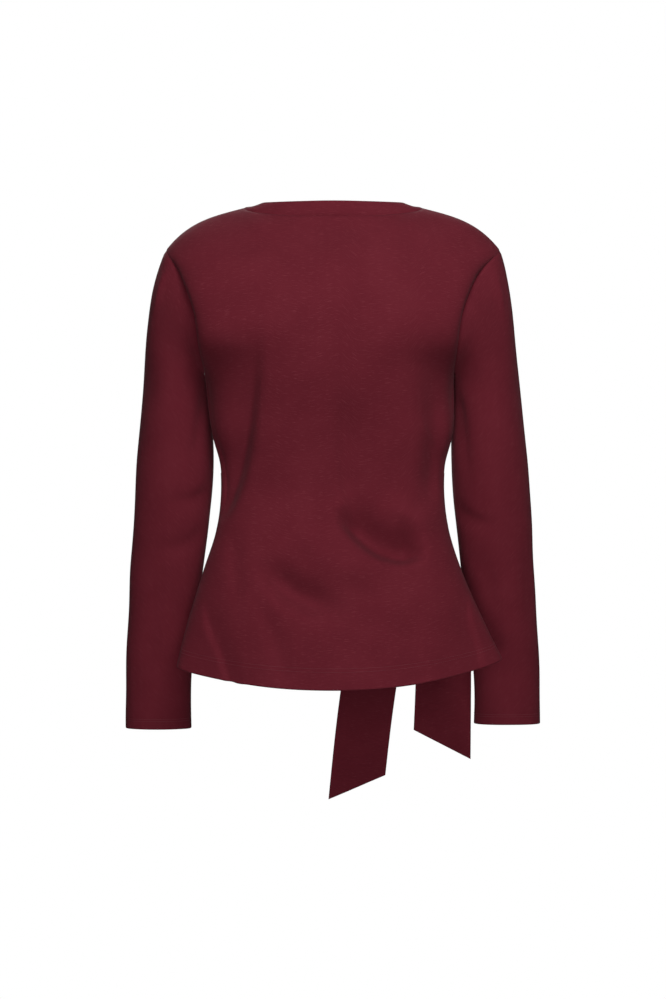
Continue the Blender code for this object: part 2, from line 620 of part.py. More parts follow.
def build():
    """Sews the top together from its pieces."""
    for old in list(bpy.data.objects):
        bpy.data.objects.remove(old, do_unlink=True)
    at = panel_rows()
    panels = {face: panel(face, at) for face in ("back", "front")}
    normals = {face: grid_normals(grid) for face, grid in panels.items()}
    ends = {face: way.copy() for face, way in normals.items()}
    join_seams(ends["back"], ends["front"])

    sleeves = {}
    for side in SIDES:
        loop = armhole(panels["back"], panels["front"], side)
        grid, leaving = sleeve(loop, side)
        ways = grid_normals(grid, closed=True) * SIDES[side]
        start = unit(np.cross(along(loop, True), leaving)) * SIDES[side]
        end = mitre(unit(armhole(ends["back"], ends["front"], side)), start)
        set_armhole(ends["back"], ends["front"], side, end)
        ways[0] = end
        inner = grid - ways * CLOTH
        grid[0] += leaving * SEAM_GAP
        inner[0] += leaving * SEAM_GAP
        sleeves[side] = (grid, inner)

    seam = neck(panels["back"], panels["front"])
    band, rise = neckband(seam)
    ways = grid_normals(band, closed=True)
    end = mitre(unit(neck(ends["back"], ends["front"])), ways[0])
    set_neck(ends["back"], ends["front"], end)
    band_inner = band - ways * DOUBLE_CLOTH
    band_inner[0] = seam - end * DOUBLE_CLOTH
    for grid in (band, band_inner):
        grid[0] += rise * SEAM_GAP

    for face, grid in panels.items():
        inner = grid - ends[face] * CLOTH
        draw_in(grid, normals[face], SEAM_GAP / 2)
        draw_in(inner, normals[face], SEAM_GAP / 2)
        wall(face + "_panel", grid, inner)
    for side, (grid, inner) in sleeves.items():
        order = slice(None, None, int(SIDES[side]))
        wall("sleeve_" + side, grid[:, order], inner[:, order], closed=True)
    wall("neckband", band, band_inner, closed=True)

    front, out = panels["front"], normals["front"]
    seat, way = at_height(front, out, column_at(front, KNOT_SEAT_X, SASH_HEIGHT), SASH_HEIGHT)
    last = front.shape[1] - 1
    inset = SASH_SEAM_INSET / np.linalg.norm(front[SKIRT_ROWS // 2, 0] - front[SKIRT_ROWS // 2, 1])
    sash("sash_left", front, out, last - inset, column_at(front, seat[0] + SEAM_GAP, SASH_HEIGHT))
    sash("sash_right", front, out, inset, column_at(front, seat[0] - SEAM_GAP, SASH_HEIGHT))
    centre, across = knot(seat, way)
    tree = front_tree()
    hem = SECTIONS[0]
    hem_z = max(hem.front_z, hem.left_z, hem.right_z) + CLOTH
    for row in TAILS:
        tail(row, tree, hem_z, centre, across)


build()
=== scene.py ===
import math
from collections import namedtuple

import bpy
import numpy as np
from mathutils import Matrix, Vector
from mathutils.bvhtree import BVHTree


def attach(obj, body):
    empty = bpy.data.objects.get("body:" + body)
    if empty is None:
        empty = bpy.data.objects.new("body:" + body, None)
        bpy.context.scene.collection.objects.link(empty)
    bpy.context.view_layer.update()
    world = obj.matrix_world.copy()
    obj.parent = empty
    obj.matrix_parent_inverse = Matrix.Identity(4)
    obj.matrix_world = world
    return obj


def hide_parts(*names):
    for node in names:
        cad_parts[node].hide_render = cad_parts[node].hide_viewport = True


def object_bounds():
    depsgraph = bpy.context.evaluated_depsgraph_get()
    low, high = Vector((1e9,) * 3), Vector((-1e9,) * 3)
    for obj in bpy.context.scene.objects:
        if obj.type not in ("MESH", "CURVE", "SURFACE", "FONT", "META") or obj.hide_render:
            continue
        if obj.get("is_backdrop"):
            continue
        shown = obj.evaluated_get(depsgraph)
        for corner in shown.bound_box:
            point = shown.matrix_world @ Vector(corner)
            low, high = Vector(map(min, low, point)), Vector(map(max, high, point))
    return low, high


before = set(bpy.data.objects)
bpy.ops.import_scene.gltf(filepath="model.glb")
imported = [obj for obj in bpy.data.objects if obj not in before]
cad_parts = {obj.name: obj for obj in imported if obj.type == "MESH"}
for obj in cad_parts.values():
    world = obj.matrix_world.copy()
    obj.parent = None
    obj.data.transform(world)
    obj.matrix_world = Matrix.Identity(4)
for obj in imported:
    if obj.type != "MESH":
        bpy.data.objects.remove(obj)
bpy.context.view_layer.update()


# The room. The top hangs in a white surround, high over a plain pale floor, and is seen from straight
# behind at the height of the waist. Four soft boxes light each side: a key close above it, a weak one
# further round, one by the camera, and one low down that reaches under the hem.
CAMERA_AWAY = 3.0
EYE_HEIGHT = -0.3715
LENS_MM = 85.0
SENSOR_MM = 36.0
FLOOR_HEIGHT = -1.7
FLOOR_RADIUS = 3.0
SURROUND_LIGHT = 0.05
FLOOR_LIGHT = 0.06

camera = bpy.data.objects.new("camera", bpy.data.cameras.new("camera"))
camera.data.lens = LENS_MM
camera.data.sensor_width = SENSOR_MM
camera.location = (0.0, CAMERA_AWAY, EYE_HEIGHT)
camera.rotation_euler = (math.pi / 2, 0.0, math.pi)
bpy.context.scene.collection.objects.link(camera)
bpy.context.scene.camera = camera
bpy.context.scene.view_settings.view_transform = "Standard"


def soft_box(name, place, aim, size, watts):
    """A large square light that looks at a point."""
    light = bpy.data.lights.new(name, "AREA")
    light.shape = "SQUARE"
    light.size = size
    light.energy = watts
    lamp = bpy.data.objects.new(name, light)
    lamp.location = place
    lamp.rotation_euler = (Vector(aim) - Vector(place)).to_track_quat("-Z", "Y").to_euler()
    bpy.context.scene.collection.objects.link(lamp)


for face, toward in (("back", 1.0), ("front", -1.0)):
    soft_box("key_" + face, (-0.28 * toward, 1.35 * toward, 1.10), (0.0, 0.0, -0.20), 0.8, 23.0)
    soft_box("side_" + face, (-0.90 * toward, 2.6 * toward, 0.35), (0.0, 0.0, -0.30), 1.1, 5.0)
    soft_box("fill_" + face, (0.10 * toward, 3.0 * toward, -0.20), (0.0, 0.0, -0.35), 1.4, 17.5)
    soft_box("low_" + face, (0.20 * toward, 2.6 * toward, -1.15), (0.0, 0.0, -0.60), 0.8, 17.0)


def white_to_the_eye(tree, strength, light):
    """Makes a strength 1, plain white, where the camera looks at it, and light for what it lights."""
    ray = tree.nodes.new("ShaderNodeLightPath")
    brightness = tree.nodes.new("ShaderNodeMapRange")
    brightness.inputs["To Min"].default_value = light
    brightness.inputs["To Max"].default_value = 1.0
    tree.links.new(ray.outputs["Is Camera Ray"], brightness.inputs["Value"])
    tree.links.new(brightness.outputs["Result"], strength)


world = bpy.data.worlds.new("white_surround")
world.use_nodes = True
bpy.context.scene.world = world
backdrop = world.node_tree.nodes["Background"]
backdrop.inputs["Color"].default_value = (1.0, 1.0, 1.0, 1.0)
white_to_the_eye(world.node_tree, backdrop.inputs["Strength"], SURROUND_LIGHT)

bpy.ops.mesh.primitive_circle_add(vertices=96, radius=FLOOR_RADIUS, fill_type="NGON")
floor = bpy.context.object
floor.name = "floor"
floor.location.z = FLOOR_HEIGHT
paint = bpy.data.materials.new("floor_paint")
paint.use_nodes = True
coat = paint.node_tree.nodes["Principled BSDF"]
coat.inputs["Base Color"].default_value = (0.0, 0.0, 0.0, 1.0)
coat.inputs["Specular IOR Level"].default_value = 0.0
coat.inputs["Emission Color"].default_value = (1.0, 1.0, 1.0, 1.0)
white_to_the_eye(paint.node_tree, coat.inputs["Emission Strength"], FLOOR_LIGHT)
floor.data.materials.append(paint)
floor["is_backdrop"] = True


# Back and front panels. Two pieces of heavy wine jersey, cut wide at the shoulders, nipped at the waist
# and flared to pointed corners at the hem, which is turned up inside and sewn with a twin needle.
# They meet at the side and shoulder seams, where both edges roll in.
CLOTH = 0.0015
SEAM_GAP = 0.00008
SEAM_ROLL = 0.0021
SEAM_DIP = 0.0010
HEM_TURN = 0.0215
HEM_CLOTH = 0.0028
EDGE_ROUNDNESS = 0.86

NECK_HALF_WIDTH = 0.1137
NECK_DEPTH = {"back": 0.045, "front": -0.088}
NECK_DROP = {"back": 0.016, "front": 0.105}
SHOULDER_RUN = 0.099
SHOULDER_FALL = 0.0267
SHOULDER_ROLL = 0.0279
SHOULDER_ROLL_POWER = 3.7
SHOULDER_RISE = 0.074
SQUARENESS = 2.4
HEM_FLARE_TURN = math.radians(23)
CORNER_SHARE = 0.86
SIDES = {"left": 1.0, "right": -1.0}

# A torso section is half a rounded oblong on each side of the centre line. half is its width without
# the flare, and wrap is how far round it the panel reaches: 90 degrees at a side seam.
Section = namedtuple(
    "Section",
    "name back_z front_z left_z right_z left_half right_half flare "
    "back_side_y front_side_y back_y front_y wrap",
)
SECTIONS = (
    Section("hem", -0.607, -0.599, -0.582, -0.571, 0.150, 0.166, 0.048, 0.020, 0.020, 0.098, -0.096, 90),
    Section("hip", -0.548, -0.545, -0.530, -0.527, 0.157, 0.164, 0.028, 0.018, 0.018, 0.094, -0.101, 90),
    Section("high_hip", -0.468, -0.468, -0.461, -0.461, 0.159, 0.158, 0.005, 0.012, 0.012, 0.083, -0.099, 90),
    Section("low_waist", -0.411, -0.411, -0.410, -0.410, 0.148, 0.147, 0, 0.006, 0.006, 0.072, -0.093, 90),
    Section("waist", -0.353, -0.353, -0.353, -0.353, 0.142, 0.141, 0, 0.002, 0.002, 0.064, -0.088, 90),
    Section("high_waist", -0.328, -0.328, -0.328, -0.328, 0.1435, 0.1425, 0, 0.001, 0.001, 0.067, -0.091, 90),
    Section("ribs", -0.292, -0.294, -0.292, -0.292, 0.153, 0.1515, 0, 0.001, 0.001, 0.074, -0.098, 90),
    Section("underarm", -0.212, -0.222, -0.212, -0.212, 0.1632, 0.1535, 0, 0, 0, 0.092, -0.111, 90),
    Section("low_arm", -0.178, -0.192, -0.182, -0.182, 0.168, 0.1555, 0, 0.050, -0.048, 0.097, -0.109, 100),
    Section("mid_arm", -0.140, -0.162, -0.140, -0.140, 0.173, 0.161, 0, 0.064, -0.056, 0.098, -0.103, 103),
    Section("high_arm", -0.088, -0.132, -0.098, -0.098, 0.188, 0.177, 0, 0.048, -0.042, 0.087, -0.096, 94),
)
UNDERARM = [row.name for row in SECTIONS].index("underarm")

# The way the cloth runs at a panel's top edge: up at the neck, slanting at its corner, over the shoulder.
# Each is (away from the centre line, toward the other panel, up).
TOP_UP = (0.0, 0.30, 0.90)
TOP_SLANT = (-0.70, 0.90, 0.40)
TOP_OVER = (0.0, 1.25, 0.20)
TOP_OVER_FROM = 0.6

# Folds, each along a path of points (x, z) across a panel. A positive height stands out of the cloth.
# The widths reach to the left and right of the path, and an edge over 2 ends in a crisper line.
FOLD_FIELDS = "name path height left right fade_in fade_out left_edge right_edge"
Fold = namedtuple("Fold", FOLD_FIELDS, defaults=(2, 2))
BACK_FOLDS = (
    Fold("waist_pull", ((0.098, -0.126), (0.099, -0.195), (0.106, -0.259), (0.119, -0.330), (0.150, -0.405)),
         -0.0180, 0.046, 0.0110, 0.75, 0.14, 2.0, 2.3),
    Fold("side_hollow", ((-0.118, -0.165), (-0.128, -0.235), (-0.130, -0.300), (-0.122, -0.392)),
         -0.0130, 0.017, 0.017, 0.60, 0.22),
    Fold("side_crease", ((-0.106, -0.262), (-0.117, -0.288), (-0.128, -0.308), (-0.136, -0.336)),
         0.0016, 0.004, 0.004, 0.30, 0.30),
    Fold("spine", ((-0.012, -0.215), (-0.015, -0.290), (-0.020, -0.355), (-0.038, -0.405)),
         -0.0070, 0.012, 0.030, 0.45, 0.20),
    Fold("hip_hollow",
         ((-0.004, -0.378), (-0.034, -0.413), (-0.058, -0.431), (-0.080, -0.438), (-0.122, -0.430)),
         -0.0290, 0.0105, 0.027, 0.30, 0.25, 2.2, 2.0),
    Fold("hip_ridge", ((-0.066, -0.374), (-0.092, -0.389), (-0.118, -0.400), (-0.140, -0.404)),
         0.0045, 0.012, 0.013, 0.35, 0.40),
    Fold("hip_roll", ((0.045, -0.395), (0.020, -0.433), (-0.020, -0.456), (-0.075, -0.464)),
         0.0050, 0.018, 0.022, 0.30, 0.35),
    Fold("lower_trough", ((0.088, -0.436), (0.058, -0.480), (0.021, -0.499), (-0.029, -0.5175)),
         -0.0175, 0.017, 0.021, 0.35, 0.45),
    Fold("left_hip_fall", ((0.124, -0.400), (0.122, -0.458), (0.117, -0.520)),
         -0.0030, 0.010, 0.012, 0.35, 0.45),
    Fold("left_skirt_fall", ((0.100, -0.4645), (0.0875, -0.508), (0.070, -0.551), (0.058, -0.600)),
         -0.0034, 0.012, 0.014, 0.35, 0.10),
    Fold("right_skirt_fall", ((-0.088, -0.500), (-0.098, -0.545), (-0.112, -0.600)),
         -0.0022, 0.016, 0.014, 0.40, 0.10),
    Fold("left_wing", ((0.159, -0.490), (0.1555, -0.523), (0.138, -0.567), (0.128, -0.605)),
         -0.0042, 0.0045, 0.018, 0.35, 0.05, 2.2, 2.0),
    Fold("right_wing", ((-0.168, -0.480), (-0.170, -0.529), (-0.181, -0.562), (-0.186, -0.600)),
         -0.0040, 0.018, 0.0045, 0.35, 0.05, 2.0, 2.2),
    Fold("blade_left", ((0.078, -0.060), (0.088, -0.120), (0.070, -0.175)),
         -0.0014, 0.030, 0.026, 0.45, 0.45),
    Fold("blade_right", ((-0.070, -0.070), (-0.084, -0.125), (-0.072, -0.185)),
         -0.0012, 0.028, 0.026, 0.45, 0.45),
)
FRONT_FOLDS = (
    Fold("pull_to_bust", ((-0.070, -0.340), (-0.030, -0.300), (0.010, -0.262), (0.066, -0.225)),
         -0.0050, 0.013, 0.017, 0.20, 0.50, 2.0, 2.4),
    Fold("pull_to_underarm", ((-0.076, -0.325), (-0.050, -0.268), (-0.034, -0.210), (-0.040, -0.150)),
         -0.0042, 0.012, 0.014, 0.20, 0.50),
    Fold("pull_along_waist", ((-0.060, -0.331), (-0.005, -0.322), (0.050, -0.316), (0.108, -0.300)),
         -0.0040, 0.008, 0.012, 0.25, 0.40, 2.4, 2.0),
    Fold("pull_to_hip", ((-0.072, -0.410), (-0.030, -0.455), (0.008, -0.510), (0.038, -0.580)),
         -0.0050, 0.014, 0.018, 0.20, 0.35),
    Fold("pull_to_left_hip", ((-0.050, -0.412), (0.010, -0.430), (0.064, -0.462), (0.104, -0.520)),
         -0.0040, 0.014, 0.012, 0.25, 0.45, 2.0, 2.4),
    Fold("right_hip_fall", ((-0.140, -0.410), (-0.146, -0.470), (-0.150, -0.540)),
         -0.0030, 0.011, 0.013, 0.35, 0.45),
    Fold("left_waist_pull", ((0.106, -0.170), (0.108, -0.250), (0.122, -0.335)),
         -0.0060, 0.010, 0.028, 0.45, 0.25, 2.4, 2.0),
    Fold("left_front_fall", ((0.066, -0.450), (0.074, -0.520), (0.086, -0.600)),
         -0.0035, 0.014, 0.016, 0.40, 0.10),
    Fold("left_front_wing", ((0.156, -0.490), (0.150, -0.530), (0.134, -0.602)),
         -0.0036, 0.018, 0.0050, 0.35, 0.05, 2.0, 2.2),
    Fold("right_front_wing", ((-0.166, -0.485), (-0.166, -0.530), (-0.172, -0.600)),
         -0.0036, 0.0050, 0.018, 0.35, 0.05, 2.2, 2.0),
    Fold("chest_left", ((0.052, -0.120), (0.070, -0.170), (0.060, -0.230)),
         0.0030, 0.030, 0.034, 0.45, 0.45),
    Fold("chest_right", ((-0.052, -0.120), (-0.070, -0.170), (-0.060, -0.230)),
         0.0030, 0.034, 0.030, 0.45, 0.45),
)
FOLD_SAMPLES = 61
FOLD_WAY = np.array([0.35, 1.0, 1.0])
FOLD_REACH = 3.2
FOLD_END = 0.10
FLAT_BY_SEAM = 0.02
SMALL_WAVES = 0.00016
WAVES = 14
WAVE_LENGTHS = (0.045, 0.140)
CORNER_PASSES = 60
CORNER_REACH = 0.14
CORNER_DEPTH = 0.012

HALF_COLUMNS = 36
SKIRT_ROWS = 122
ARMHOLE_ROWS = 74
EDGE_STEPS = np.array([0.0004, 0.0010, 0.0018, 0.0028])
HALF_ARC = 0.22


def side_value(row, side, field):
    """A section's or ring's value for the wearer's left or right."""
    return getattr(row, side + "_" + field)


def read_line(values, length, at):
    """Values given at these lengths along a line, read at the lengths in at."""
    return np.stack([np.interp(at, length, values[:, k]) for k in range(3)], axis=1)


def evenly(points, shares):
    """Points along a line at these shares of its length."""
    steps = np.linalg.norm(np.diff(points, axis=0), axis=1)
    lengths = np.concatenate([[0.0], np.cumsum(steps)])
    return read_line(points, lengths, shares * lengths[-1])


def smoothstep(value, low, high):
    """0 below low, 1 above high, smooth between."""
    t = np.clip((value - low) / (high - low), 0.0, 1.0)
    return t * t * (3.0 - 2.0 * t)


def half_section(row, face, side, shares):
    """One torso section from the centre line to the panel's edge."""
    turn = np.linspace(0.0, math.radians(row.wrap), 900)
    power = 2.0 / SQUARENESS
    mid_y = getattr(row, face + "_y")
    side_y = getattr(row, face + "_side_y")
    flare = row.flare * np.exp(-(((math.pi / 2 - turn) / HEM_FLARE_TURN) ** 2))
    x = side_value(row, side, "half") * np.sin(turn) ** power + flare
    x[0] = 0.0
    y = side_y + (mid_y - side_y) * np.sign(np.cos(turn)) * np.abs(np.cos(turn)) ** power
    points = evenly(np.stack([x * SIDES[side], y, np.zeros_like(x)], axis=1), shares)
    mid_z = getattr(row, face + "_z")
    points[:, 2] = mid_z + (side_value(row, side, "z") - mid_z) * shares**2
    return points


def top_edge(face, side, shares):
    """The panel's top edge from the centre line: half the neck, then the shoulder seam."""
    turn = np.linspace(math.pi / 2, 0.0, 600)
    down = np.sin(turn)
    depth, drop = NECK_DEPTH[face], NECK_DROP[face]
    neck = np.stack([NECK_HALF_WIDTH * np.cos(turn), depth * down, -drop * down], axis=1)
    run = np.linspace(0.0, 1.0, 600)
    fall = SHOULDER_FALL * run + SHOULDER_ROLL * run**SHOULDER_ROLL_POWER
    shoulder = np.stack([NECK_HALF_WIDTH + SHOULDER_RUN * run, np.zeros_like(run), -fall], axis=1)
    edge = np.concatenate(
        [evenly(neck, 2 * shares[shares <= 0.5]), evenly(shoulder, 2 * shares[shares > 0.5] - 1)]
    )
    edge[:, 0] *= SIDES[side]
    return edge


def top_slope(face, side, shares):
    """The way the cloth runs at each column of the top edge."""
    toward = -1.0 if face == "back" else 1.0
    up, slant, over = (np.array(way) * (SIDES[side], toward, 1.0) for way in (TOP_UP, TOP_SLANT, TOP_OVER))
    to_corner = smoothstep(2 * shares - 1, -1.0, 0.0)[:, None]
    past_corner = smoothstep(2 * shares - 1, 0.0, TOP_OVER_FROM)[:, None]
    return (up * (1 - to_corner) + slant * to_corner) * (1 - past_corner) + over * past_corner


def hermite(rows, stations, at, corner_row=None, corner=None, end_slope=None):
    """Smooth lines through the rows at their stations, read at the places in at.

    corner gives, for each column, how sharply the line may turn at corner_row.
    """
    gaps = np.diff(stations)[:, None, None]
    chords = np.diff(rows, axis=0) / gaps
    inner = (chords[:-1] * gaps[1:] + chords[1:] * gaps[:-1]) / (gaps[1:] + gaps[:-1])
    first = 1.5 * chords[:1] - 0.5 * inner[:1]
    last = 1.5 * chords[-1:] - 0.5 * inner[-1:] if end_slope is None else end_slope[None]
    arriving = np.concatenate([first, inner, last])
    leaving = arriving.copy()
    if corner_row is not None:
        weight = corner[:, None]
        arriving[corner_row] = arriving[corner_row] * (1 - weight) + chords[corner_row - 1] * weight
        leaving[corner_row] = leaving[corner_row] * (1 - weight) + chords[corner_row] * weight
    index = np.clip(np.searchsorted(stations, at, side="right") - 1, 0, len(stations) - 2)
    width = np.diff(stations)[index][:, None, None]
    t = ((at - stations[index]) / np.diff(stations)[index])[:, None, None]
    return (
        rows[index] * (2 * t**3 - 3 * t**2 + 1)
        + leaving[index] * width * (t**3 - 2 * t**2 + t)
        + rows[index + 1] * (3 * t**2 - 2 * t**3)
        + arriving[index + 1] * width * (t**3 - t**2)
    )


def fold_height(flat, folds):
    """How far the folds lift points that are given as places (across, up)."""
    lift = np.zeros(flat.shape[:-1])
    for fold in folds:
        corners = np.array(fold.path)
        lengths = np.concatenate([[0.0], np.cumsum(np.linalg.norm(np.diff(corners, axis=0), axis=1))])
        places = np.linspace(0.0, lengths[-1], FOLD_SAMPLES)
        line = hermite(corners[:, None], lengths, places)[:, 0]
        way = np.gradient(line, axis=0)
        reach = FOLD_REACH * max(fold.left, fold.right)
        close = ((flat > line.min(axis=0) - reach) & (flat < line.max(axis=0) + reach)).all(axis=-1)
        points = flat[close]
        away = points[:, None, :] - line
        nearest = np.linalg.norm(away, axis=-1).argmin(axis=-1)
        off = np.take_along_axis(away, nearest[:, None, None], 1)[:, 0]
        ahead = way[nearest]
        step = np.linalg.norm(ahead, axis=-1)
        shift = np.clip(np.sum(off * ahead, axis=-1) / step**2, -0.5, 0.5)
        off = off - ahead * shift[:, None]
        distance = np.linalg.norm(off, axis=-1)
        left = ahead[:, 0] * off[:, 1] - ahead[:, 1] * off[:, 0] > 0
        width = np.where(left, fold.left, fold.right)
        edge = np.where(left, fold.left_edge, fold.right_edge)
        place = (nearest + shift) / (FOLD_SAMPLES - 1)
        fade = smoothstep(place, 0.0, fold.fade_in) * smoothstep(1 - place, 0.0, fold.fade_out)
        lift[close] += fold.height * np.exp(-((distance / width) ** edge)) * fade
    return lift


def waves(points, seed):
    """Slight unevenness of worn cloth: a sum of slow waves in fixed random directions."""
    random = np.random.default_rng(seed)
    total = np.zeros(points.shape[:-1])
    for _ in range(WAVES):
        way = random.normal(size=3)
        length = random.uniform(*WAVE_LENGTHS)
        total += np.sin(points @ (way / np.linalg.norm(way)) * 2 * math.pi / length + random.uniform(0, 7))
    return total * SMALL_WAVES


def unit(vectors):
    """Vectors of length one."""
    return vectors / np.linalg.norm(vectors, axis=-1, keepdims=True)


def along(points, closed, axis=0):
    """The direction of travel along rows of points."""
    if closed:
        return np.roll(points, -1, axis=axis) - np.roll(points, 1, axis=axis)
    return np.gradient(points, axis=axis)


def grid_normals(grid, closed=False):
    """Outward direction at each point of a grid whose rows run up and columns run to the right."""
    return unit(np.cross(along(grid, closed, axis=1), along(grid, False, axis=0)))


def panel_stations():
    """How far up the garment each section lies, the same for front and back, so their seams meet."""
    heights = [(row.left_z + row.right_z) / 2 for row in SECTIONS]
    return np.array(heights + [heights[-1] + SHOULDER_RISE]) - heights[0]


def panel_rows():
    """Where the rows lie, from the hem to the shoulder, closer at each edge. The underarm is one of them."""
    stations = panel_stations()
    under, top = stations[UNDERARM], stations[-1]
    skirt = np.linspace(0.0, under, SKIRT_ROWS + 1)
    armhole = np.linspace(under, top, ARMHOLE_ROWS + 1)[1:]
    raw_edge = HEM_TURN + np.array([-0.0003, 0.0003])
    return np.unique(np.concatenate([skirt, armhole, EDGE_STEPS, raw_edge, top - EDGE_STEPS]))


def half_shares():
    """Where a panel's columns lie from the centre (0) to the seam (1), closer at the seam."""
    even = np.linspace(0.0, 1.0, 2 * HALF_COLUMNS + 1)
    return np.unique(np.concatenate([even, 1.0 - EDGE_STEPS / HALF_ARC]))


def soften_neck_corner(grid, shares, below_top):
    """Evens out the crease that runs down a half panel from the corner of the neck."""
    smooth = grid.copy()
    for _ in range(CORNER_PASSES):
        smooth[:, 1:-1] = (smooth[:, :-2] + 2 * smooth[:, 1:-1] + smooth[:, 2:]) / 4
    near = np.exp(-(((shares - 0.5) / CORNER_REACH) ** 2))
    share = smoothstep(below_top, 0.0, CORNER_DEPTH)[:, None] * near
    return grid + (smooth - grid) * share[..., None]


def panel(face, rows):
    """The outer surface of the front or back panel, from the hem up and from its left to its right."""
    shares = half_shares()
    stations = panel_stations()
    halves = {}
    for side in SIDES:
        lines = [half_section(row, face, side, shares) for row in SECTIONS] + [top_edge(face, side, shares)]
        corner = smoothstep(shares, CORNER_SHARE, 1.0)
        slope = top_slope(face, side, shares)
        half = hermite(np.array(lines), stations, rows, UNDERARM, corner, slope)
        halves[side] = soften_neck_corner(half, shares, stations[-1] - rows)
    first, second = ("left", "right") if face == "back" else ("right", "left")
    grid = np.concatenate([halves[first][:, :0:-1], halves[second]], axis=1)
    folds, seed = (BACK_FOLDS, 3) if face == "back" else (FRONT_FOLDS, 4)
    off_seam = smoothstep(1 - np.concatenate([shares[:0:-1], shares]), 0.0, FOLD_END)
    off_shoulder = smoothstep(stations[-1] - rows, 0.0, FLAT_BY_SEAM)[:, None]
    lift = (fold_height(grid[..., [0, 2]], folds) + waves(grid, seed) * off_shoulder) * off_seam
    return grid + grid_normals(grid) * FOLD_WAY * lift[..., None]


def mitre(first, second):
    """The direction of a seam's end face between two pieces that meet at an angle."""
    return (first + second) / (1.0 + np.sum(first * second, axis=-1, keepdims=True))


def armhole(back, front, side):
    """The armhole as a loop: from the underarm up the back to the shoulder, and down the front."""
    column = 0 if side == "left" else -1
    return np.concatenate([back[under_row:, column], front[under_row:, -1 - column][::-1][1:-1]])


def set_armhole(back, front, side, loop):
    """Puts values for the armhole's points back in the panels' edges."""
    column = 0 if side == "left" else -1
    count = len(back) - under_row
    back[under_row:, column] = loop[:count]
    front[under_row:, -1 - column] = np.concatenate([loop[count - 1 :], loop[:1]])[::-1]


def neck(back, front):
    """The neck seam as a loop: across the back from left to right, and back across the front."""
    return np.concatenate([back[-1, neck_columns], front[-1, neck_columns][1:-1]])


def set_neck(back, front, loop):
    """Puts values for the neck seam's points back in the panels' edges."""
    count = neck_columns.stop - neck_columns.start
    back[-1, neck_columns] = loop[:count]
    front[-1, neck_columns] = np.concatenate([loop[count - 1 :], loop[:1]])


# The sleeves leave the armhole, and the neckband the neck, in these directions, which the end faces of
# the panels share.
UNDERARM_SET = (0.87, -0.22, -0.44)
SHOULDER_SET = {"left": (0.42, 0.0, -0.90), "right": (0.28, 0.0, -0.95)}
SHOULDER_PART = 0.5
BAND_WIDTH = 0.0207
BAND_CORNER_RISE = 0.0014
BAND_RISE = {"back": 0.0202, "front": 0.0188}
BAND_LIFT = 0.0046
BAND_LIFT_TO = 0.50


def armhole_turns():
    """How far round the armhole each of its points lies: 0 at the underarm and pi at the shoulder."""
    up = (panel_places[under_row:] - panel_places[under_row]) / (panel_places[-1] - panel_places[under_row])
    return math.pi * np.concatenate([up, 2 - up[::-1][1:-1]])


def sleeve_leaving(side, turns):
    """The way a sleeve leaves the armhole, out at the underarm and down from the shoulder."""
    upper = smoothstep(1 - np.abs(turns / math.pi - 1), SHOULDER_PART, 1.0)[:, None]
    leaving = np.array(UNDERARM_SET) * (1 - upper) + np.array(SHOULDER_SET[side]) * upper
    return unit(leaving * np.array([SIDES[side], 1.0, 1.0]))


def neck_rise(seam):
    """The way the neckband rises from the neck seam: in, and up to a level edge."""
    across = np.clip(seam[:, 0] / NECK_HALF_WIDTH, -1.0, 1.0)
    middle = np.sqrt(1 - across**2)
    behind = seam[:, 1] > 0
    up = BAND_CORNER_RISE * (1 - middle) + np.where(behind, BAND_RISE["back"], BAND_RISE["front"]) * middle
    up += BAND_LIFT * smoothstep(middle, 0.0, BAND_LIFT_TO) * (1 - middle)
    inward = np.sqrt(BAND_WIDTH**2 - up**2)
    return np.stack([-across * inward, np.where(behind, -middle, middle) * inward, up], axis=-1) / BAND_WIDTH


panel_places = panel_rows()
under_row = int(np.abs(panel_places - panel_stations()[UNDERARM]).argmin())
neck_start = int((half_shares() > 0.5).sum())
neck_columns = slice(neck_start, 2 * len(half_shares()) - 1 - neck_start)
panels = {face: panel(face, panel_places) for face in ("back", "front")}
normals = {face: grid_normals(grid) for face, grid in panels.items()}
ends = {face: way.copy() for face, way in normals.items()}
last_column = panels["back"].shape[1] - 1
seam_points = [(i, j) for i in range(under_row + 1) for j in (0, last_column)]
seam_points += [(-1, j) for k in range(neck_start + 1) for j in (k, last_column - k)]
for i, j in seam_points:
    both = mitre(normals["back"][i, j], normals["front"][i, last_column - j])
    ends["back"][i, j] = both
    ends["front"][i, last_column - j] = both
armholes, sleeve_ends = {}, {}
for side in SIDES:
    armholes[side] = armhole(panels["back"], panels["front"], side)
    way = sleeve_leaving(side, armhole_turns())
    start = unit(np.cross(along(armholes[side], True), way)) * SIDES[side]
    sleeve_ends[side] = mitre(unit(armhole(ends["back"], ends["front"], side)), start)
    set_armhole(ends["back"], ends["front"], side, sleeve_ends[side])
neck_seam = neck(panels["back"], panels["front"])
band_start = unit(np.cross(along(neck_seam, True), neck_rise(neck_seam)))
neck_end = mitre(unit(neck(ends["back"], ends["front"])), band_start)
set_neck(ends["back"], ends["front"], neck_end)


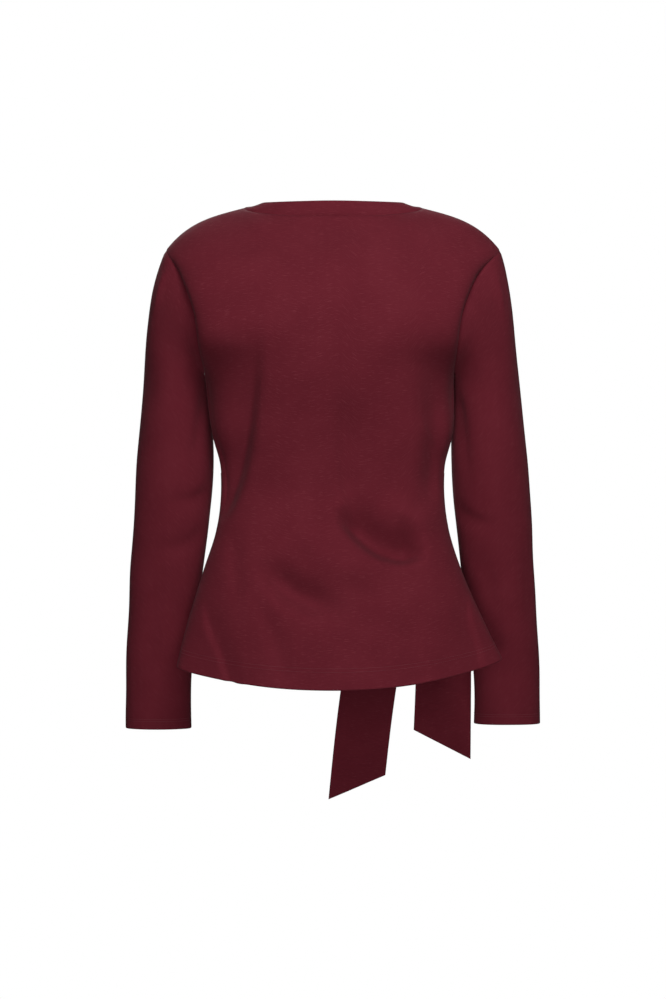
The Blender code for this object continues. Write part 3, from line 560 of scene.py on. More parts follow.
class Value:
    """A shader socket in an expression. Arithmetic on it adds Math nodes to its material."""

    def __init__(self, finish, socket):
        self.finish = finish
        self.socket = socket

    def math(self, operation, first, second=0.0):
        return self.finish.add("ShaderNodeMath", {"operation": operation}, {0: first, 1: second})

    def __add__(self, other):
        return self.math("ADD", self, other)

    def __sub__(self, other):
        return self.math("SUBTRACT", self, other)

    def __rsub__(self, other):
        return self.math("SUBTRACT", other, self)

    def __mul__(self, other):
        return self.math("MULTIPLY", self, other)

    def __truediv__(self, other):
        return self.math("DIVIDE", self, other)

    __radd__ = __add__
    __rmul__ = __mul__

    def sine(self):
        return self.math("SINE", self)

    def fraction(self):
        return self.math("FRACT", self)

    def size(self):
        return self.math("ABSOLUTE", self)

    def step(self, low, high):
        """0 below low, 1 above high, smooth between."""
        settings = {"interpolation_type": "SMOOTHSTEP"}
        return self.finish.add("ShaderNodeMapRange", settings, {0: self, 1: low, 2: high})


class Finish:
    """A material in the making: its Principled shader, and one way to add any other node."""

    def __init__(self, name):
        self.material = bpy.data.materials.new(name)
        self.material.use_nodes = True
        self.tree = self.material.node_tree
        self.shader = self.tree.nodes["Principled BSDF"]

    def put(self, socket, value):
        if isinstance(value, Value):
            self.tree.links.new(value.socket, socket)
        else:
            socket.default_value = value

    def add(self, kind, settings=None, inputs=None, output=0):
        node = self.tree.nodes.new(kind)
        for name, value in (settings or {}).items():
            setattr(node, name, value)
        for name, value in (inputs or {}).items():
            self.put(node.inputs[name], value)
        return Value(self, node.outputs[output])

    def blend(self, first, second, factor):
        """A colour between two."""
        return self.add("ShaderNodeMix", {"data_type": "RGBA"}, {0: factor, 6: first, 7: second}, output=2)

    def set(self, name, value):
        self.put(self.shader.inputs[name], value)


WINE = (0.134, 0.0125, 0.0228, 1.0)
WINE_DEEP = (0.108, 0.0098, 0.0182, 1.0)
WINE_SLUB = (0.190, 0.0300, 0.0430, 1.0)
WALE = 0.00085
COURSE = 0.00065
CLOUDS = 21.0
FUZZ = 900.0
SLUBS_ACROSS = 95.0
SLUBS_UP = 1500.0
SLUB_SHARE = 0.55
KNIT_HEIGHT = 0.00012


def jersey(name):
    """Matt wine jersey: fine upright ribs of V stitches, cloudy dyeing and faint slubs along the courses,
    with painted shade that colours the grooves between the stitches darker.
    """
    finish = Finish(name)
    cut = finish.add("ShaderNodeUVMap", {"uv_map": "cut"})
    across = finish.add("ShaderNodeSeparateXYZ", None, {0: cut}, 0)
    up = finish.add("ShaderNodeSeparateXYZ", None, {0: cut}, 1)
    place = finish.add("ShaderNodeTexCoord", None, None, 3)

    cloud = finish.add("ShaderNodeTexNoise", None, {"Vector": place, "Scale": CLOUDS, "Detail": 3.0})
    fuzz = finish.add("ShaderNodeTexNoise", None, {"Vector": place, "Scale": FUZZ, "Detail": 2.0})
    tone = cloud.step(0.30, 0.72) * 0.55 + fuzz.step(0.25, 0.75) * 0.45

    thread = finish.add("ShaderNodeCombineXYZ", None, {0: across * SLUBS_ACROSS, 1: up * SLUBS_UP, 2: 0.0})
    run = finish.add("ShaderNodeTexNoise", None, {"Vector": thread, "Scale": 1.0, "Detail": 1.0})
    slub = run.step(0.61, 0.70)

    wale = (across / WALE).fraction() - 0.5
    course = (up / COURSE + wale.size() * 1.3).fraction() - 0.5
    stitch = (1 - wale.size() * 2.0).step(0.0, 0.8) * 0.7 + (1 - course.size() * 2.0) * 0.3

    # The colour mixes the real cloudy dyeing with painted shade: the stitch pattern makes the grooves between
    # the ribs and courses darker.
    dyed_tone_and_groove_shade = finish.blend(WINE_DEEP, WINE, tone * 0.75 + stitch * 0.25)
    finish.set("Base Color", finish.blend(dyed_tone_and_groove_shade, WINE_SLUB, slub * SLUB_SHARE))
    finish.set("Roughness", 0.92 - cloud.step(0.4, 0.7) * 0.06)
    finish.set("Specular IOR Level", 0.14)
    finish.set("Sheen Weight", 0.06)
    finish.set("Sheen Roughness", 0.45)
    finish.set("Sheen Tint", (0.80, 0.42, 0.47, 1.0))
    height = (stitch + fuzz * 0.5 + slub * 0.8) * KNIT_HEIGHT
    bump = finish.add("ShaderNodeBump", None, {"Height": height, "Distance": 1.0, "Strength": 0.75})
    finish.set("Normal", bump)
    return finish.material


wine_jersey = jersey("wine_jersey")


def add_piece(name, points, faces, material, cut=None):
    """A smooth object from points and faces, with the flat cut's own measures as its UV map."""
    mesh = bpy.data.meshes.new(name)
    mesh.from_pydata(points.tolist(), [], faces.tolist())
    mesh.materials.append(material)
    mesh.shade_smooth()
    if cut is not None:
        mesh.uv_layers.new(name="cut").data.foreach_set("uv", cut.astype(np.float32).ravel())
    piece = bpy.data.objects.new(name, mesh)
    bpy.context.scene.collection.objects.link(piece)
    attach(piece, "root")
    return piece


def flat_measures(grid, closed):
    """Each point's place in the flat cut, in metres: along its row from the middle, and up its column."""
    if closed:
        grid = np.concatenate([grid, grid[:, :1]], axis=1)
    across = np.linalg.norm(np.diff(grid, axis=1), axis=-1).cumsum(axis=1)
    across = np.pad(across, ((0, 0), (1, 0)))
    across -= across[:, grid.shape[1] // 2][:, None]
    up = np.pad(np.linalg.norm(np.diff(grid, axis=0), axis=-1).cumsum(axis=0), ((1, 0), (0, 0)))
    return np.stack([across, up], axis=-1)


def quad_corners(values, row, column):
    """A grid's values at the four corners of each of these cells."""
    up, right = row + 1, column + 1
    return np.stack([values[row, column], values[row, right], values[up, right], values[up, column]], axis=1)


def shell(name, outer, inner, material, closed=False):
    """A thin closed wall of cloth between an outer and an inner grid."""
    rows, columns = outer.shape[:2]
    count = rows * columns
    row, column = np.mgrid[0 : rows - 1, 0 : columns if closed else columns - 1].reshape(2, -1)
    following = (column + 1) % columns
    low, low_next = row * columns + column, row * columns + following
    high, high_next = low + columns, low_next + columns
    outside = np.stack([low, low_next, high_next, high], axis=1)
    inside = count + outside[:, ::-1]
    if closed:
        ring = np.arange(columns + 1) % columns
        rims = [ring, (count - columns + ring)[::-1]]
    else:
        first = np.arange(columns - 1)
        right = np.arange(rows - 1) * columns + columns - 1
        back_along = count - 1 - np.arange(columns - 1)
        down = np.arange(rows - 1, -1, -1) * columns
        rims = [np.concatenate([first, right, back_along, down])]
    rim = np.concatenate([np.stack([count + r[:-1], count + r[1:], r[1:], r[:-1]], axis=1) for r in rims])
    measure = flat_measures(outer, closed)
    corners = quad_corners(measure, row, column)
    flat = measure[:, :columns].reshape(-1, 2)
    cut = np.concatenate([corners, corners[:, ::-1], flat[rim % count]])
    points = np.concatenate([outer.reshape(-1, 3), inner.reshape(-1, 3)])
    return add_piece(name, points, np.concatenate([outside, inside, rim]), material, cut)


def hem_round(rows, thick):
    """How far the two faces of a turned-up hem draw together close to its edge."""
    half = thick / 2
    short = np.clip(half - rows, 0.0, half)
    return EDGE_ROUNDNESS * (half - np.sqrt(half**2 - short**2))


def border(rows, columns):
    """Row and column numbers round the edge of a grid, anticlockwise from its first point."""
    path = [(0, j) for j in range(columns - 1)]
    path += [(i, columns - 1) for i in range(rows - 1)]
    path += [(rows - 1, j) for j in range(columns - 1, 0, -1)]
    path += [(i, 0) for i in range(rows - 1, 0, -1)]
    return tuple(np.array(path).T)


def draw_in(grid, ways, gap):
    """Draws the sides and top of a panel in by gap, along the cloth, so that its seams show as fine lines."""
    rows, columns = border(*grid.shape[:2])
    edge = grid[rows, columns]
    inward = unit(np.cross(ways[rows, columns], along(edge, True)))
    seams = (rows > 0) | (columns == 0) | (columns == grid.shape[1] - 1)
    grid[rows[seams], columns[seams]] = (edge + inward * gap)[seams]


body = {}
for face, grid in panels.items():
    shares = half_shares()
    from_side = (1 - np.concatenate([shares[:0:-1], shares])) * HALF_ARC
    from_top = panel_places[-1] - panel_places
    dip = SEAM_DIP * np.maximum(
        np.exp(-((from_side / SEAM_ROLL) ** 2))[None], np.exp(-((from_top / SEAM_ROLL) ** 2))[:, None]
    )
    thick = CLOTH + (HEM_CLOTH - CLOTH) * (panel_places < HEM_TURN)
    closing = hem_round(panel_places, HEM_CLOTH)
    outer = grid - ends[face] * (dip + closing[:, None])[..., None]
    inner = grid - ends[face] * (thick - closing)[:, None, None]
    draw_in(outer, normals[face], SEAM_GAP / 2)
    body[face] = shell(face + "_panel_cloth", outer, inner, wine_jersey)
    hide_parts(face + "_panel")


# Hem stitching. Two rows of short stitches round the whole hem, 20 mm above its edge and 4 mm apart,
# sewn by a twin needle with thread of the cloth's colour, and sunk a little into it.
STITCH_PITCH = 0.0031
STITCH_LENGTH = 0.0024
STITCH_THICK = 0.00050
STITCH_FLATNESS = 0.7
THREAD_TWIST = 2600.0
TWIST_HEIGHT = 0.00006
STITCH_END = 1.04
STITCH_SIDES = 6
STITCH_RINGS = 5
HEM_ROWS_OF_STITCHES = (0.0182, 0.0218)
THREAD_WINE = (0.160, 0.0190, 0.0310, 1.0)


def thread(name):
    """Spun polyester thread, a touch lighter than the cloth and with a soft gloss."""
    finish = Finish(name)
    place = finish.add("ShaderNodeTexCoord", None, None, 3)
    twist = finish.add("ShaderNodeTexNoise", None, {"Vector": place, "Scale": THREAD_TWIST, "Detail": 2.0})
    finish.set("Base Color", finish.blend(WINE, THREAD_WINE, twist))
    finish.set("Roughness", 0.62)
    height = twist * TWIST_HEIGHT
    bump = finish.add("ShaderNodeBump", None, {"Height": height, "Distance": 1.0, "Strength": 0.6})
    finish.set("Normal", bump)
    return finish.material


wine_thread = thread("wine_thread")


def stitches(name, lines, material):
    """Rows of stitches, each a small rounded bead laid on the cloth. A line is (points, outward ways)."""
    turns = np.linspace(0.0, 2 * math.pi, STITCH_SIDES, endpoint=False)
    places = np.linspace(-1.0, 1.0, STITCH_RINGS)
    fat = np.sqrt(STITCH_END - places**2)
    points, faces, made = [], [], 0
    ring = np.arange(STITCH_SIDES)
    after = (ring + 1) % STITCH_SIDES
    tube = [
        np.stack([k * STITCH_SIDES + ring, k * STITCH_SIDES + after, (k + 1) * STITCH_SIDES + after,
                  (k + 1) * STITCH_SIDES + ring], axis=1)
        for k in range(STITCH_RINGS - 1)
    ]
    first_cap = np.array([[0, 3, 2, 1], [0, 5, 4, 3]])
    last_cap = (STITCH_RINGS - 1) * STITCH_SIDES + first_cap[:, ::-1]
    bead = np.concatenate(tube + [first_cap, last_cap])
    for path, outward in lines:
        length = np.concatenate([[0.0], np.cumsum(np.linalg.norm(np.diff(path, axis=0), axis=1))])
        count = int(length[-1] / STITCH_PITCH)
        middles = (np.arange(count) + 0.5) * length[-1] / count
        ahead = read_line(path, length, middles + STITCH_LENGTH / 2)
        way = unit(ahead - read_line(path, length, middles - STITCH_LENGTH / 2))
        out = unit(read_line(outward, length, middles))
        beside = unit(np.cross(way, out))
        middle = read_line(path, length, middles)
        for k in range(count):
            spot = middle[k] + way[k] * places[:, None, None] * STITCH_LENGTH / 2
            round_it = beside[k] * np.cos(turns)[:, None] + out[k] * STITCH_FLATNESS * np.sin(turns)[:, None]
            points.append((spot + round_it * (fat * STITCH_THICK / 2)[:, None, None]).reshape(-1, 3))
            faces.append(bead + made)
            made += STITCH_RINGS * STITCH_SIDES
    piece = add_piece(name, np.concatenate(points), np.concatenate(faces), material)
    return piece


def row_at(grid, ways, places, place):
    """One line across a grid at a place between its rows, with its outward ways."""
    k = int(np.clip(np.searchsorted(places, place) - 1, 0, len(places) - 2))
    t = (place - places[k]) / (places[k + 1] - places[k])
    return grid[k] * (1 - t) + grid[k + 1] * t, ways[k] * (1 - t) + ways[k + 1] * t


hem_lines = [
    row_at(panels[face], normals[face], panel_places, place)
    for face in panels
    for place in HEM_ROWS_OF_STITCHES
]
hem_stitching = stitches("hem_stitching", hem_lines, wine_thread)


# Sleeves. Each is one long tapering piece of the same jersey, set into the armhole with a seam and
# closed by a seam under the arm. The cuff is turned up inside and sewn with a twin needle.
Ring = namedtuple("Ring", "name z left_inner right_inner left_outer right_outer centre_y half_depth")
SLEEVE_RINGS = (
    Ring("bicep", -0.237, 0.1590, 0.1528, 0.2445, 0.2415, -0.034, 0.054),
    Ring("above_elbow", -0.298, 0.1536, 0.1523, 0.2500, 0.2485, -0.037, 0.049),
    Ring("elbow", -0.350, 0.1548, 0.1536, 0.2541, 0.2534, -0.040, 0.044),
    Ring("forearm", -0.400, 0.1598, 0.1585, 0.2574, 0.2563, -0.046, 0.040),
    Ring("mid_forearm", -0.462, 0.1680, 0.1661, 0.2626, 0.2607, -0.056, 0.035),
    Ring("low_forearm", -0.532, 0.1773, 0.1758, 0.2667, 0.2655, -0.069, 0.033),
    Ring("wrist", -0.603, 0.1849, 0.1839, 0.2705, 0.2701, -0.083, 0.030),
    Ring("cuff", -0.668, 0.1858, 0.1844, 0.2719, 0.2712, -0.093, 0.028),
)
CUFF_DROP = {"left": -0.003, "right": 0.003}
# The cloth sets off sideways this much less under the arm, which closes the space there.
UNDERARM_TUCK = 0.65
UNDERARM_TUCK_FROM = 0.70
UNDER_SEAM = 0.06
BICEP_RADIUS = 0.045
ARRIVING_OVER = 0.038
CUFF_DROP_FROM = 0.50
CUFF_DROP_TO = 0.65
CUFF_TURN = 0.0150
CUFF_STITCHES = (0.0112, 0.0140)
CAP_ROWS = 34
ARM_ROWS = 150

# Folds lie at (place round the sleeve, height). A degree round it counts as 0.8 mm; 0 is the underarm,
# 90 the back, 180 the outer edge and 270 the front.
ROUND_DEGREE = 0.0008
LEFT_SLEEVE_FOLDS = (
    Fold("head_tuck", ((0.118, -0.075), (0.108, -0.105), (0.104, -0.140)), 0.0022, 0.006, 0.007, 0.3, 0.5),
    Fold("inner_pull", ((0.020, -0.225), (0.040, -0.290), (0.046, -0.350)), -0.0030, 0.010, 0.014, 0.2, 0.5),
    Fold("elbow_fold", ((0.010, -0.350), (0.046, -0.372), (0.090, -0.372)), -0.0030, 0.010, 0.014, 0.3, 0.5),
    Fold("elbow_roll", ((0.014, -0.400), (0.052, -0.430), (0.100, -0.436)), -0.0026, 0.012, 0.015, 0.3, 0.5),
    Fold("long_fall", ((0.070, -0.440), (0.082, -0.520), (0.084, -0.610)), -0.0024, 0.014, 0.016, 0.4, 0.4),
    Fold("front_elbow", ((0.270, -0.330), (0.230, -0.360), (0.200, -0.372)), -0.0045, 0.010, 0.012, 0.3, 0.5),
    Fold("front_crook", ((0.276, -0.372), (0.236, -0.398), (0.196, -0.402)), -0.0040, 0.010, 0.013, 0.3, 0.5),
)
RIGHT_SLEEVE_FOLDS = (
    Fold("head_tuck", ((0.116, -0.078), (0.106, -0.110), (0.100, -0.150)), 0.0022, 0.006, 0.007, 0.3, 0.5),
    Fold("inner_pull", ((0.020, -0.225), (0.036, -0.300), (0.040, -0.370)), -0.0034, 0.010, 0.014, 0.2, 0.5),
    Fold("elbow_fold", ((0.010, -0.372), (0.044, -0.398), (0.088, -0.402)), -0.0030, 0.010, 0.014, 0.3, 0.5),
    Fold("long_fall", ((0.052, -0.430), (0.058, -0.510), (0.066, -0.600)), -0.0032, 0.014, 0.018, 0.4, 0.4),
    Fold("outer_fall", ((0.110, -0.400), (0.112, -0.480), (0.108, -0.560)), -0.0018, 0.014, 0.014, 0.4, 0.4),
    Fold("front_elbow", ((0.272, -0.336), (0.232, -0.364), (0.200, -0.374)), -0.0045, 0.010, 0.012, 0.3, 0.5),
    Fold("front_crook", ((0.278, -0.380), (0.238, -0.404), (0.196, -0.410)), -0.0040, 0.010, 0.013, 0.3, 0.5),
)
SLEEVE_FOLDS = {"left": LEFT_SLEEVE_FOLDS, "right": RIGHT_SLEEVE_FOLDS}


def sleeve_ring(ring, side, turns):
    """One ring of a sleeve, on the wearer's left or right."""
    inner, outer = side_value(ring, side, "inner"), side_value(ring, side, "outer")
    x = (inner + outer) / 2 - (outer - inner) / 2 * np.cos(turns)
    y = ring.centre_y + ring.half_depth * np.sin(turns)
    drop = CUFF_DROP[side] * smoothstep(-ring.z, CUFF_DROP_FROM, CUFF_DROP_TO)
    return np.stack([x * SIDES[side], y, np.full_like(x, ring.z + drop)], axis=-1)


def arm_rows():
    """Where a sleeve's rows lie below the bicep, closer at the raw edge inside and at the cuff's fold."""
    length = SLEEVE_RINGS[0].z - SLEEVE_RINGS[-1].z
    raw_edge = length - CUFF_TURN + np.array([-0.0003, 0.0003])
    return np.unique(np.concatenate([np.linspace(0.0, length, ARM_ROWS + 1), raw_edge, length - EDGE_STEPS]))


def sleeve(side):
    """A sleeve's outer surface, from the armhole down to the cuff."""
    loop, turns = armholes[side], armhole_turns()
    leaving = sleeve_leaving(side, turns)
    rings = np.array([sleeve_ring(ring, side, turns) for ring in SLEEVE_RINGS])
    stations = np.array([SLEEVE_RINGS[0].z - ring.z for ring in SLEEVE_RINGS])
    arm = hermite(rings, stations, arm_rows())
    arriving = unit(np.diff(hermite(rings, stations, np.array([0.0, ARRIVING_OVER])), axis=0)[0])
    chord = np.linalg.norm(rings[0] - loop, axis=-1, keepdims=True)
    first = EDGE_STEPS / chord.mean()
    t = np.unique(np.concatenate([np.linspace(0.0, 1.0, CAP_ROWS + 1)[:-1], first]))[:, None, None]
    tuck = UNDERARM_TUCK * smoothstep(np.abs(turns / math.pi - 1), UNDERARM_TUCK_FROM, 1.0)[:, None]
    cap = (
        loop * (2 * t**3 - 3 * t**2 + 1)
        + leaving * chord * (1 - tuck) * (t**3 - 2 * t**2 + t)
        + rings[0] * (3 * t**2 - 2 * t**3)
        + arriving * chord * (t**3 - t**2)
    )
    grid = np.concatenate([cap, arm])
    ways = grid_normals(grid, closed=True) * SIDES[side]
    round_it = np.broadcast_to(np.degrees(turns) * ROUND_DEGREE, grid.shape[:2])
    flat = np.stack([round_it, grid[..., 2]], axis=-1)
    free = smoothstep(np.linalg.norm(grid - loop, axis=-1), 0.0, FLAT_BY_SEAM)
    under = smoothstep(1 - np.abs(turns / math.pi - 1), 0.0, UNDER_SEAM)
    lift = (fold_height(flat, SLEEVE_FOLDS[side]) + waves(grid, 7)) * free * under
    return grid + ways * lift[..., None], leaving


for side in SIDES:
    grid, leaving = sleeve(side)
    ways = grid_normals(grid, closed=True) * SIDES[side]
    ways[0] = sleeve_ends[side]
    to_cuff = np.linalg.norm(np.diff(grid, axis=0), axis=-1).mean(axis=1)
    from_armhole = np.concatenate([[0.0], to_cuff.cumsum()])
    from_cuff = from_armhole[-1] - from_armhole
    from_seam = np.minimum(armhole_turns(), 2 * math.pi - armhole_turns()) * BICEP_RADIUS
    dip = SEAM_DIP * np.maximum(
        np.exp(-((from_armhole / SEAM_ROLL) ** 2))[:, None], np.exp(-((from_seam / SEAM_ROLL) ** 2))[None]
    )
    thick = CLOTH + (HEM_CLOTH - CLOTH) * (from_cuff < CUFF_TURN)
    closing = hem_round(from_cuff, HEM_CLOTH)
    outer = grid - ways * (dip + closing[:, None])[..., None]
    inner = grid - ways * (thick - closing)[:, None, None]
    outer[0] += leaving * SEAM_GAP
    order = slice(None, None, int(SIDES[side]))
    shell("sleeve_cloth_" + side, outer[:, order], inner[:, order], wine_jersey, closed=True)
    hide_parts("sleeve_" + side)
    lines = []
    for place in CUFF_STITCHES:
        line, out = row_at(grid[::-1], ways[::-1], from_cuff[::-1], place)
        lines.append((np.concatenate([line, line[:1]]), np.concatenate([out, out[:1]])))
    cuff_stitching = stitches("cuff_stitching_" + side, lines, wine_thread)


# Neckband. A folded strip of the same jersey, 21 mm wide when finished, sewn round the neck so that it
# stands up and leans in. Its top edge is the fold, and the seam below it is turned inside.
BAND_CLOTH = 0.0022
BAND_BELLY = 0.0006
BAND_STEPS = 14

rise = neck_rise(neck_seam)
even = np.linspace(0.0, BAND_WIDTH, BAND_STEPS + 1)
band_places = np.unique(np.concatenate([even, EDGE_STEPS, BAND_WIDTH - EDGE_STEPS]))
band = neck_seam + rise * band_places[:, None, None]
ways = grid_normals(band, closed=True)
ways[0] = neck_end
from_fold = BAND_WIDTH - band_places
dip = SEAM_DIP * np.exp(-((band_places / SEAM_ROLL) ** 2))
closing = hem_round(from_fold, BAND_CLOTH)
belly = BAND_BELLY * np.sin(math.pi * band_places / BAND_WIDTH)
outer = band + ways * (belly - dip - closing)[:, None, None]
inner = band - ways * (BAND_CLOTH - closing)[:, None, None]
outer[0] += rise * SEAM_GAP
neckband_jersey = jersey("neckband_jersey")
neckband = shell("neckband_cloth", outer, inner, neckband_jersey, closed=True)
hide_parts("neckband")


# Sash. Two folded ties of the same jersey, sewn into the side seams, laid flat round the front of the
# waist and gathered towards the knot at the wearer's right.
DOUBLE_CLOTH = 0.0022
SASH_HEIGHT = -0.372
SASH_SIDE_WIDTH = 0.070
SASH_KNOT_WIDTH = 0.036
SASH_SEAM_INSET = 0.018
SASH_SEAM_THICKNESS = 0.0016
SASH_REST = 0.0006
SASH_PLEATS = 2
SASH_PLEAT_HEIGHT = 0.002
SASH_CREASES = 5
SASH_CREASE_HEIGHT = 0.0007
SASH_CREASE_TURN = 0.6
SASH_EDGE_SHARES = np.array([0.006, 0.014, 0.028])
SASH_ACROSS = 40
SASH_STEP = 0.5
KNOT_SEAT_X = -0.0940
tie_jersey = jersey("tie_jersey")


def at_height(grid, ways, column, z):
    """The point of a panel at a height on a column, which may lie between two, and its direction."""
    low = min(int(column), grid.shape[1] - 2)
    share = column - low
    line = grid[:, low] * (1 - share) + grid[:, low + 1] * share
    out = ways[:, low] * (1 - share) + ways[:, low + 1] * share
    point = [np.interp(z, line[:, 2], line[:, k]) for k in range(3)]
    way = [np.interp(z, line[:, 2], out[:, k]) for k in range(3)]
    return np.array(point), unit(np.array(way))


def column_at(grid, x, z):
    """The column of a panel that passes through x at a height."""
    across = [np.interp(z, grid[:, j, 2], grid[:, j, 0]) for j in range(grid.shape[1])]
    return float(np.interp(x, across, range(len(across))))


def column_inside(grid, inset):
    """The column of a panel that lies this far in from its first edge, half-way up to the underarm."""
    steps = np.linalg.norm(np.diff(grid[under_row // 2], axis=0), axis=1)
    return float(np.interp(inset, np.concatenate([[0.0], steps.cumsum()]), np.arange(len(steps) + 1)))


def pleats(shares, count, height):
    """Soft ridges across a folded tie."""
    return height * 0.5 * (1 - np.cos(2 * math.pi * count * shares))


def tie_edge(shares, width, thick):
    """How far the two faces of a folded tie draw together at its edges."""
    return hem_round(np.minimum(shares, 1 - shares) * width, thick)


def sash(name, from_column, to_column):
    """A folded tie laid on the front panel, from the side seam to the knot."""
    front, out = panels["front"], normals["front"]
    first, last = sorted((from_column, to_column))
    columns = np.linspace(first, last, int((last - first) / SASH_STEP) + 2)
    across = np.linspace(0.0, 1.0, SASH_ACROSS + 1)
    across = np.unique(np.concatenate([across, SASH_EDGE_SHARES, 1 - SASH_EDGE_SHARES]))
    outer = np.zeros((len(across), len(columns), 3))
    inner = np.zeros_like(outer)
    for j, column in enumerate(columns):
        share = smoothstep(abs(column - from_column) / abs(to_column - from_column), 0.0, 1.0)
        width = SASH_SIDE_WIDTH * (1 - share) + SASH_KNOT_WIDTH * share
        for i, place in enumerate(across):
            point, way = at_height(front, out, column, SASH_HEIGHT + width * (place - 0.5))
            thick = SASH_SEAM_THICKNESS * (1 - share) + DOUBLE_CLOTH * share
            close = tie_edge(np.array([place]), width, thick)[0]
            ridge = pleats(place, SASH_PLEATS, SASH_PLEAT_HEIGHT * share)
            wave = math.sin(2 * math.pi * (SASH_CREASES * place + SASH_CREASE_TURN * share))
            ridge += SASH_CREASE_HEIGHT * share * wave * math.sin(math.pi * place)
            inner[i, j] = point + way * (SASH_REST + close)
            outer[i, j] = point + way * (SASH_REST + thick + ridge - close)
    piece = shell(name + "_cloth", outer, inner, tie_jersey)
    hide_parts(name)
    return piece


front, out = panels["front"], normals["front"]
seat, seat_way = at_height(front, out, column_at(front, KNOT_SEAT_X, SASH_HEIGHT), SASH_HEIGHT)
from_right = column_inside(front, SASH_SEAM_INSET)
from_left = last_column - column_inside(front[:, ::-1], SASH_SEAM_INSET)
sash_left = sash("sash_left", from_left, column_at(front, seat[0] + SEAM_GAP, SASH_HEIGHT))
sash_right = sash("sash_right", from_right, column_at(front, seat[0] - SEAM_GAP, SASH_HEIGHT))


# Knot. The two ties cross and wrap once round each other at the wearer's right front, and the wrap is
# drawn into soft slanting pleats.
KNOT_HALF_SIZE = (0.025, 0.0135, 0.025)
KNOT_END_LEAN = math.radians(62)
KNOT_SQUARENESS = 2.6
KNOT_RINGS = 64
KNOT_SIDES = 96
KNOT_PLEATS = 9
KNOT_PLEAT_DEPTH = 0.0013
KNOT_PLEAT_BIAS = 0.6
KNOT_WAIST = 0.10
KNOT_END_SHARES = (0.02, 0.35, 0.7)

knot_centre = seat + seat_way * (
    SASH_REST + DOUBLE_CLOTH + SASH_PLEAT_HEIGHT / 2 + SEAM_GAP + KNOT_HALF_SIZE[1]
)
knot_centre[2] = SASH_HEIGHT
knot_across = unit(np.array([-seat_way[1], seat_way[0], 0.0]))
knot_out = np.array([knot_across[1], -knot_across[0], 0.0])
turns = np.linspace(0.0, 2 * math.pi, KNOT_SIDES, endpoint=False)
power = 2.0 / KNOT_SQUARENESS
rings = []
for place in np.linspace(-1.0, 1.0, KNOT_RINGS + 1):
    lean = place * KNOT_END_LEAN
    waist = 1 - KNOT_WAIST * math.sin(math.pi * 2 * place) ** 2
    size = math.cos(lean) ** power * waist
    height = math.copysign(abs(math.sin(lean) / math.sin(KNOT_END_LEAN)) ** power, place)
    slant = KNOT_PLEATS * (place * 0.9 + 0.22 * np.sin(turns + 0.6)) + 0.7 * np.cos(turns)
    pleat = KNOT_PLEAT_DEPTH * (np.abs(np.sin(math.pi * slant / 2)) ** 0.8 - KNOT_PLEAT_BIAS)
    pleat *= math.sin(math.pi * (place + 1) / 2) ** 0.4 if abs(place) < 1 else 0.0
    x = KNOT_HALF_SIZE[0] * size * np.sign(np.cos(turns)) * np.abs(np.cos(turns)) ** power
    y = KNOT_HALF_SIZE[1] * size * np.sign(np.sin(turns)) * np.abs(np.sin(turns)) ** power
    ring = knot_centre + x[:, None] * knot_across - y[:, None] * knot_out
    bulge = np.cos(turns)[:, None] * knot_across - np.sin(turns)[:, None] * knot_out
    ring += bulge * pleat[:, None]
    ring[:, 2] += KNOT_HALF_SIZE[2] * height
    rings.append(ring)
rings = np.array(rings)
low_end, high_end = (
    [ring.mean(axis=1, keepdims=True) * (1 - share) + ring * share for share in KNOT_END_SHARES]
    for ring in (rings[:1], rings[-1:])
)
grid = np.concatenate(low_end + [rings] + high_end[::-1])
count, sides = grid.shape[:2]
row, column = np.mgrid[0 : count - 1, 0:sides].reshape(2, -1)
low, low_next = row * sides + column, row * sides + (column + 1) % sides
faces = np.stack([low, low_next, low_next + sides, low + sides], axis=1)
cut = quad_corners(flat_measures(grid, True), row, column)
knot = add_piece("sash_knot_cloth", grid.reshape(-1, 3), faces, tie_jersey, cut)
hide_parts("sash_knot")


# Hanging ends. Each tie goes on below the knot as a long double strip, falls over the front of the hip
# and hangs free under the hem, where its end is cut on a slant. Faint creases from the knot cross it.
TAIL_WIDTH = 0.073
TAIL_TOP_WIDTH = 0.024
TAIL_REST = 0.0016
TAIL_HANG_Y = -0.108
TAIL_SETTLE = 0.12
TAIL_PLEATS = 2
TAIL_PLEAT_HEIGHT = 0.002
TAIL_ROWS = 150
TAIL_COLUMNS = 40
Tail = namedtuple("Tail", "name top_x spread middle low_left low_right creases flat")
TAILS = (
    Tail("tail_inner", -0.0915, (-0.0660, -0.510), (-0.0500, -0.600), (0.0060, -0.7668), (-0.0690, -0.7345),
         ((-0.690, 0.35), (-0.722, 0.30), (-0.745, 0.42)), (0.078, 0.375)),
    Tail("tail_outer", -0.1180, (-0.1450, -0.510), (-0.1455, -0.600), (-0.1062, -0.6750), (-0.1812, -0.7135),
         ((-0.615, 0.55), (-0.650, 0.45), (-0.668, 0.20)), (0.078, 0.315)),
)
TAIL_CREASE = 0.0008
TAIL_CREASE_WIDTH = 0.0035

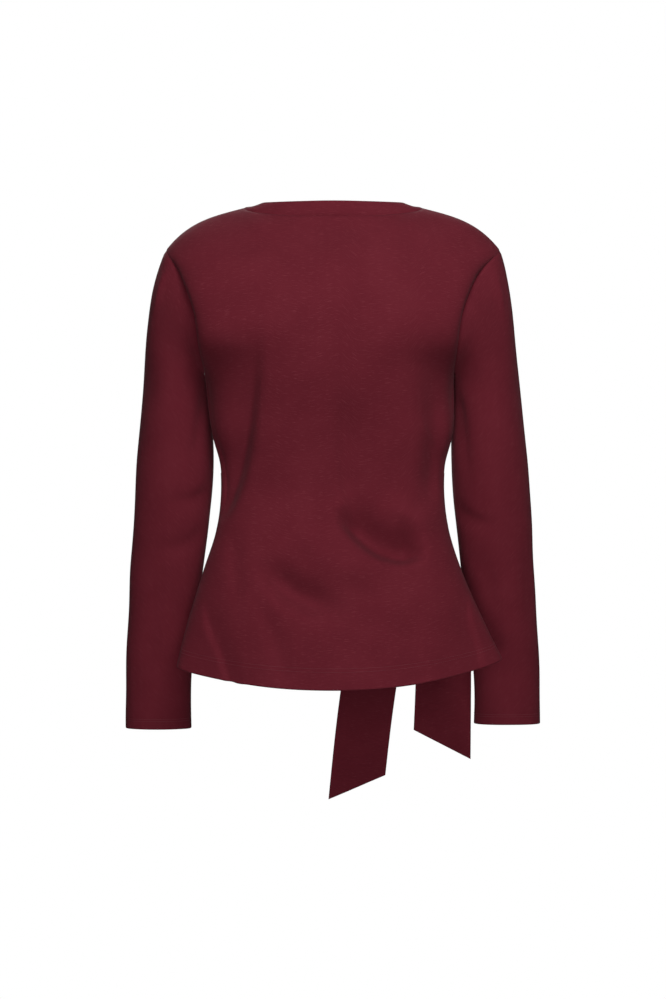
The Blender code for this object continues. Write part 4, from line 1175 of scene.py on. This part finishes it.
corners = [vertex.co for vertex in body["front"].data.vertices]
front_cloth = BVHTree.FromPolygons(corners, [tuple(face.vertices) for face in body["front"].data.polygons])
hem = SECTIONS[0]
hem_z = max(hem.front_z, hem.left_z, hem.right_z) + CLOTH
for row in TAILS:
    top_z = SASH_HEIGHT - KNOT_HALF_SIZE[2] - SEAM_GAP
    half = np.array([TAIL_WIDTH / 2, 0.0])
    top = np.array([row.top_x, top_z])
    top_half = np.array([TAIL_TOP_WIDTH / 2, 0.0])
    spread, middle = np.array(row.spread), np.array(row.middle)
    left = np.array([top + top_half, spread + half, middle + half, row.low_left])[:, None]
    right = np.array([top - top_half, spread - half, middle - half, row.low_right])[:, None]
    stations = np.concatenate([[0.0], np.cumsum(np.linalg.norm(np.diff(left[:, 0], axis=0), axis=1))])
    at = np.linspace(0.0, stations[-1], TAIL_ROWS + 1)
    at = np.unique(np.concatenate([at, stations[-1] - EDGE_STEPS]))
    edges = [hermite(edge, stations, at) for edge in (left, right)]
    even = np.linspace(0.0, 1.0, TAIL_COLUMNS + 1)
    share = np.unique(np.concatenate([even, EDGE_STEPS / TAIL_WIDTH, 1 - EDGE_STEPS / TAIL_WIDTH]))
    flat = edges[0] * (1 - share[:, None]) + edges[1] * share[:, None]
    lift = pleats(share, TAIL_PLEATS, TAIL_PLEAT_HEIGHT)
    crease = sum(
        np.exp(-(((flat[..., 1] - z - slope * (flat[..., 0] - row.middle[0])) / TAIL_CREASE_WIDTH) ** 2))
        for z, slope in row.creases
    )
    outer = np.zeros((len(at), len(share), 3))
    for j in range(len(share)):
        lowest = 0.0
        for i in range(len(at)):
            x, z = flat[i, j]
            hang = smoothstep(top_z - z, 0.0, TAIL_SETTLE)
            own = (knot_centre[1] + (x - knot_centre[0]) * knot_across[1] / knot_across[0]) * (1 - hang)
            own += TAIL_HANG_Y * hang
            hit = front_cloth.ray_cast(Vector((x, -0.5, max(z, hem_z))), Vector((0.0, 1.0, 0.0)))[0]
            rest = (hit.y if hit else 0.0) - TAIL_REST - DOUBLE_CLOTH
            lowest = min(lowest, own, rest)
            outer[i, j] = (x, lowest - lift[j] * (1 - hang), z)
    edge = np.minimum(np.minimum(share, 1 - share)[None] * TAIL_WIDTH, (stations[-1] - at)[:, None])
    closing = hem_round(edge, DOUBLE_CLOTH)
    outer[..., 1] -= crease * TAIL_CREASE
    inner = outer.copy()
    inner[..., 1] += DOUBLE_CLOTH - closing
    outer[..., 1] += closing
    piece = shell(row.name + "_cloth", outer, inner, tie_jersey)
    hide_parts(row.name)

low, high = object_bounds()
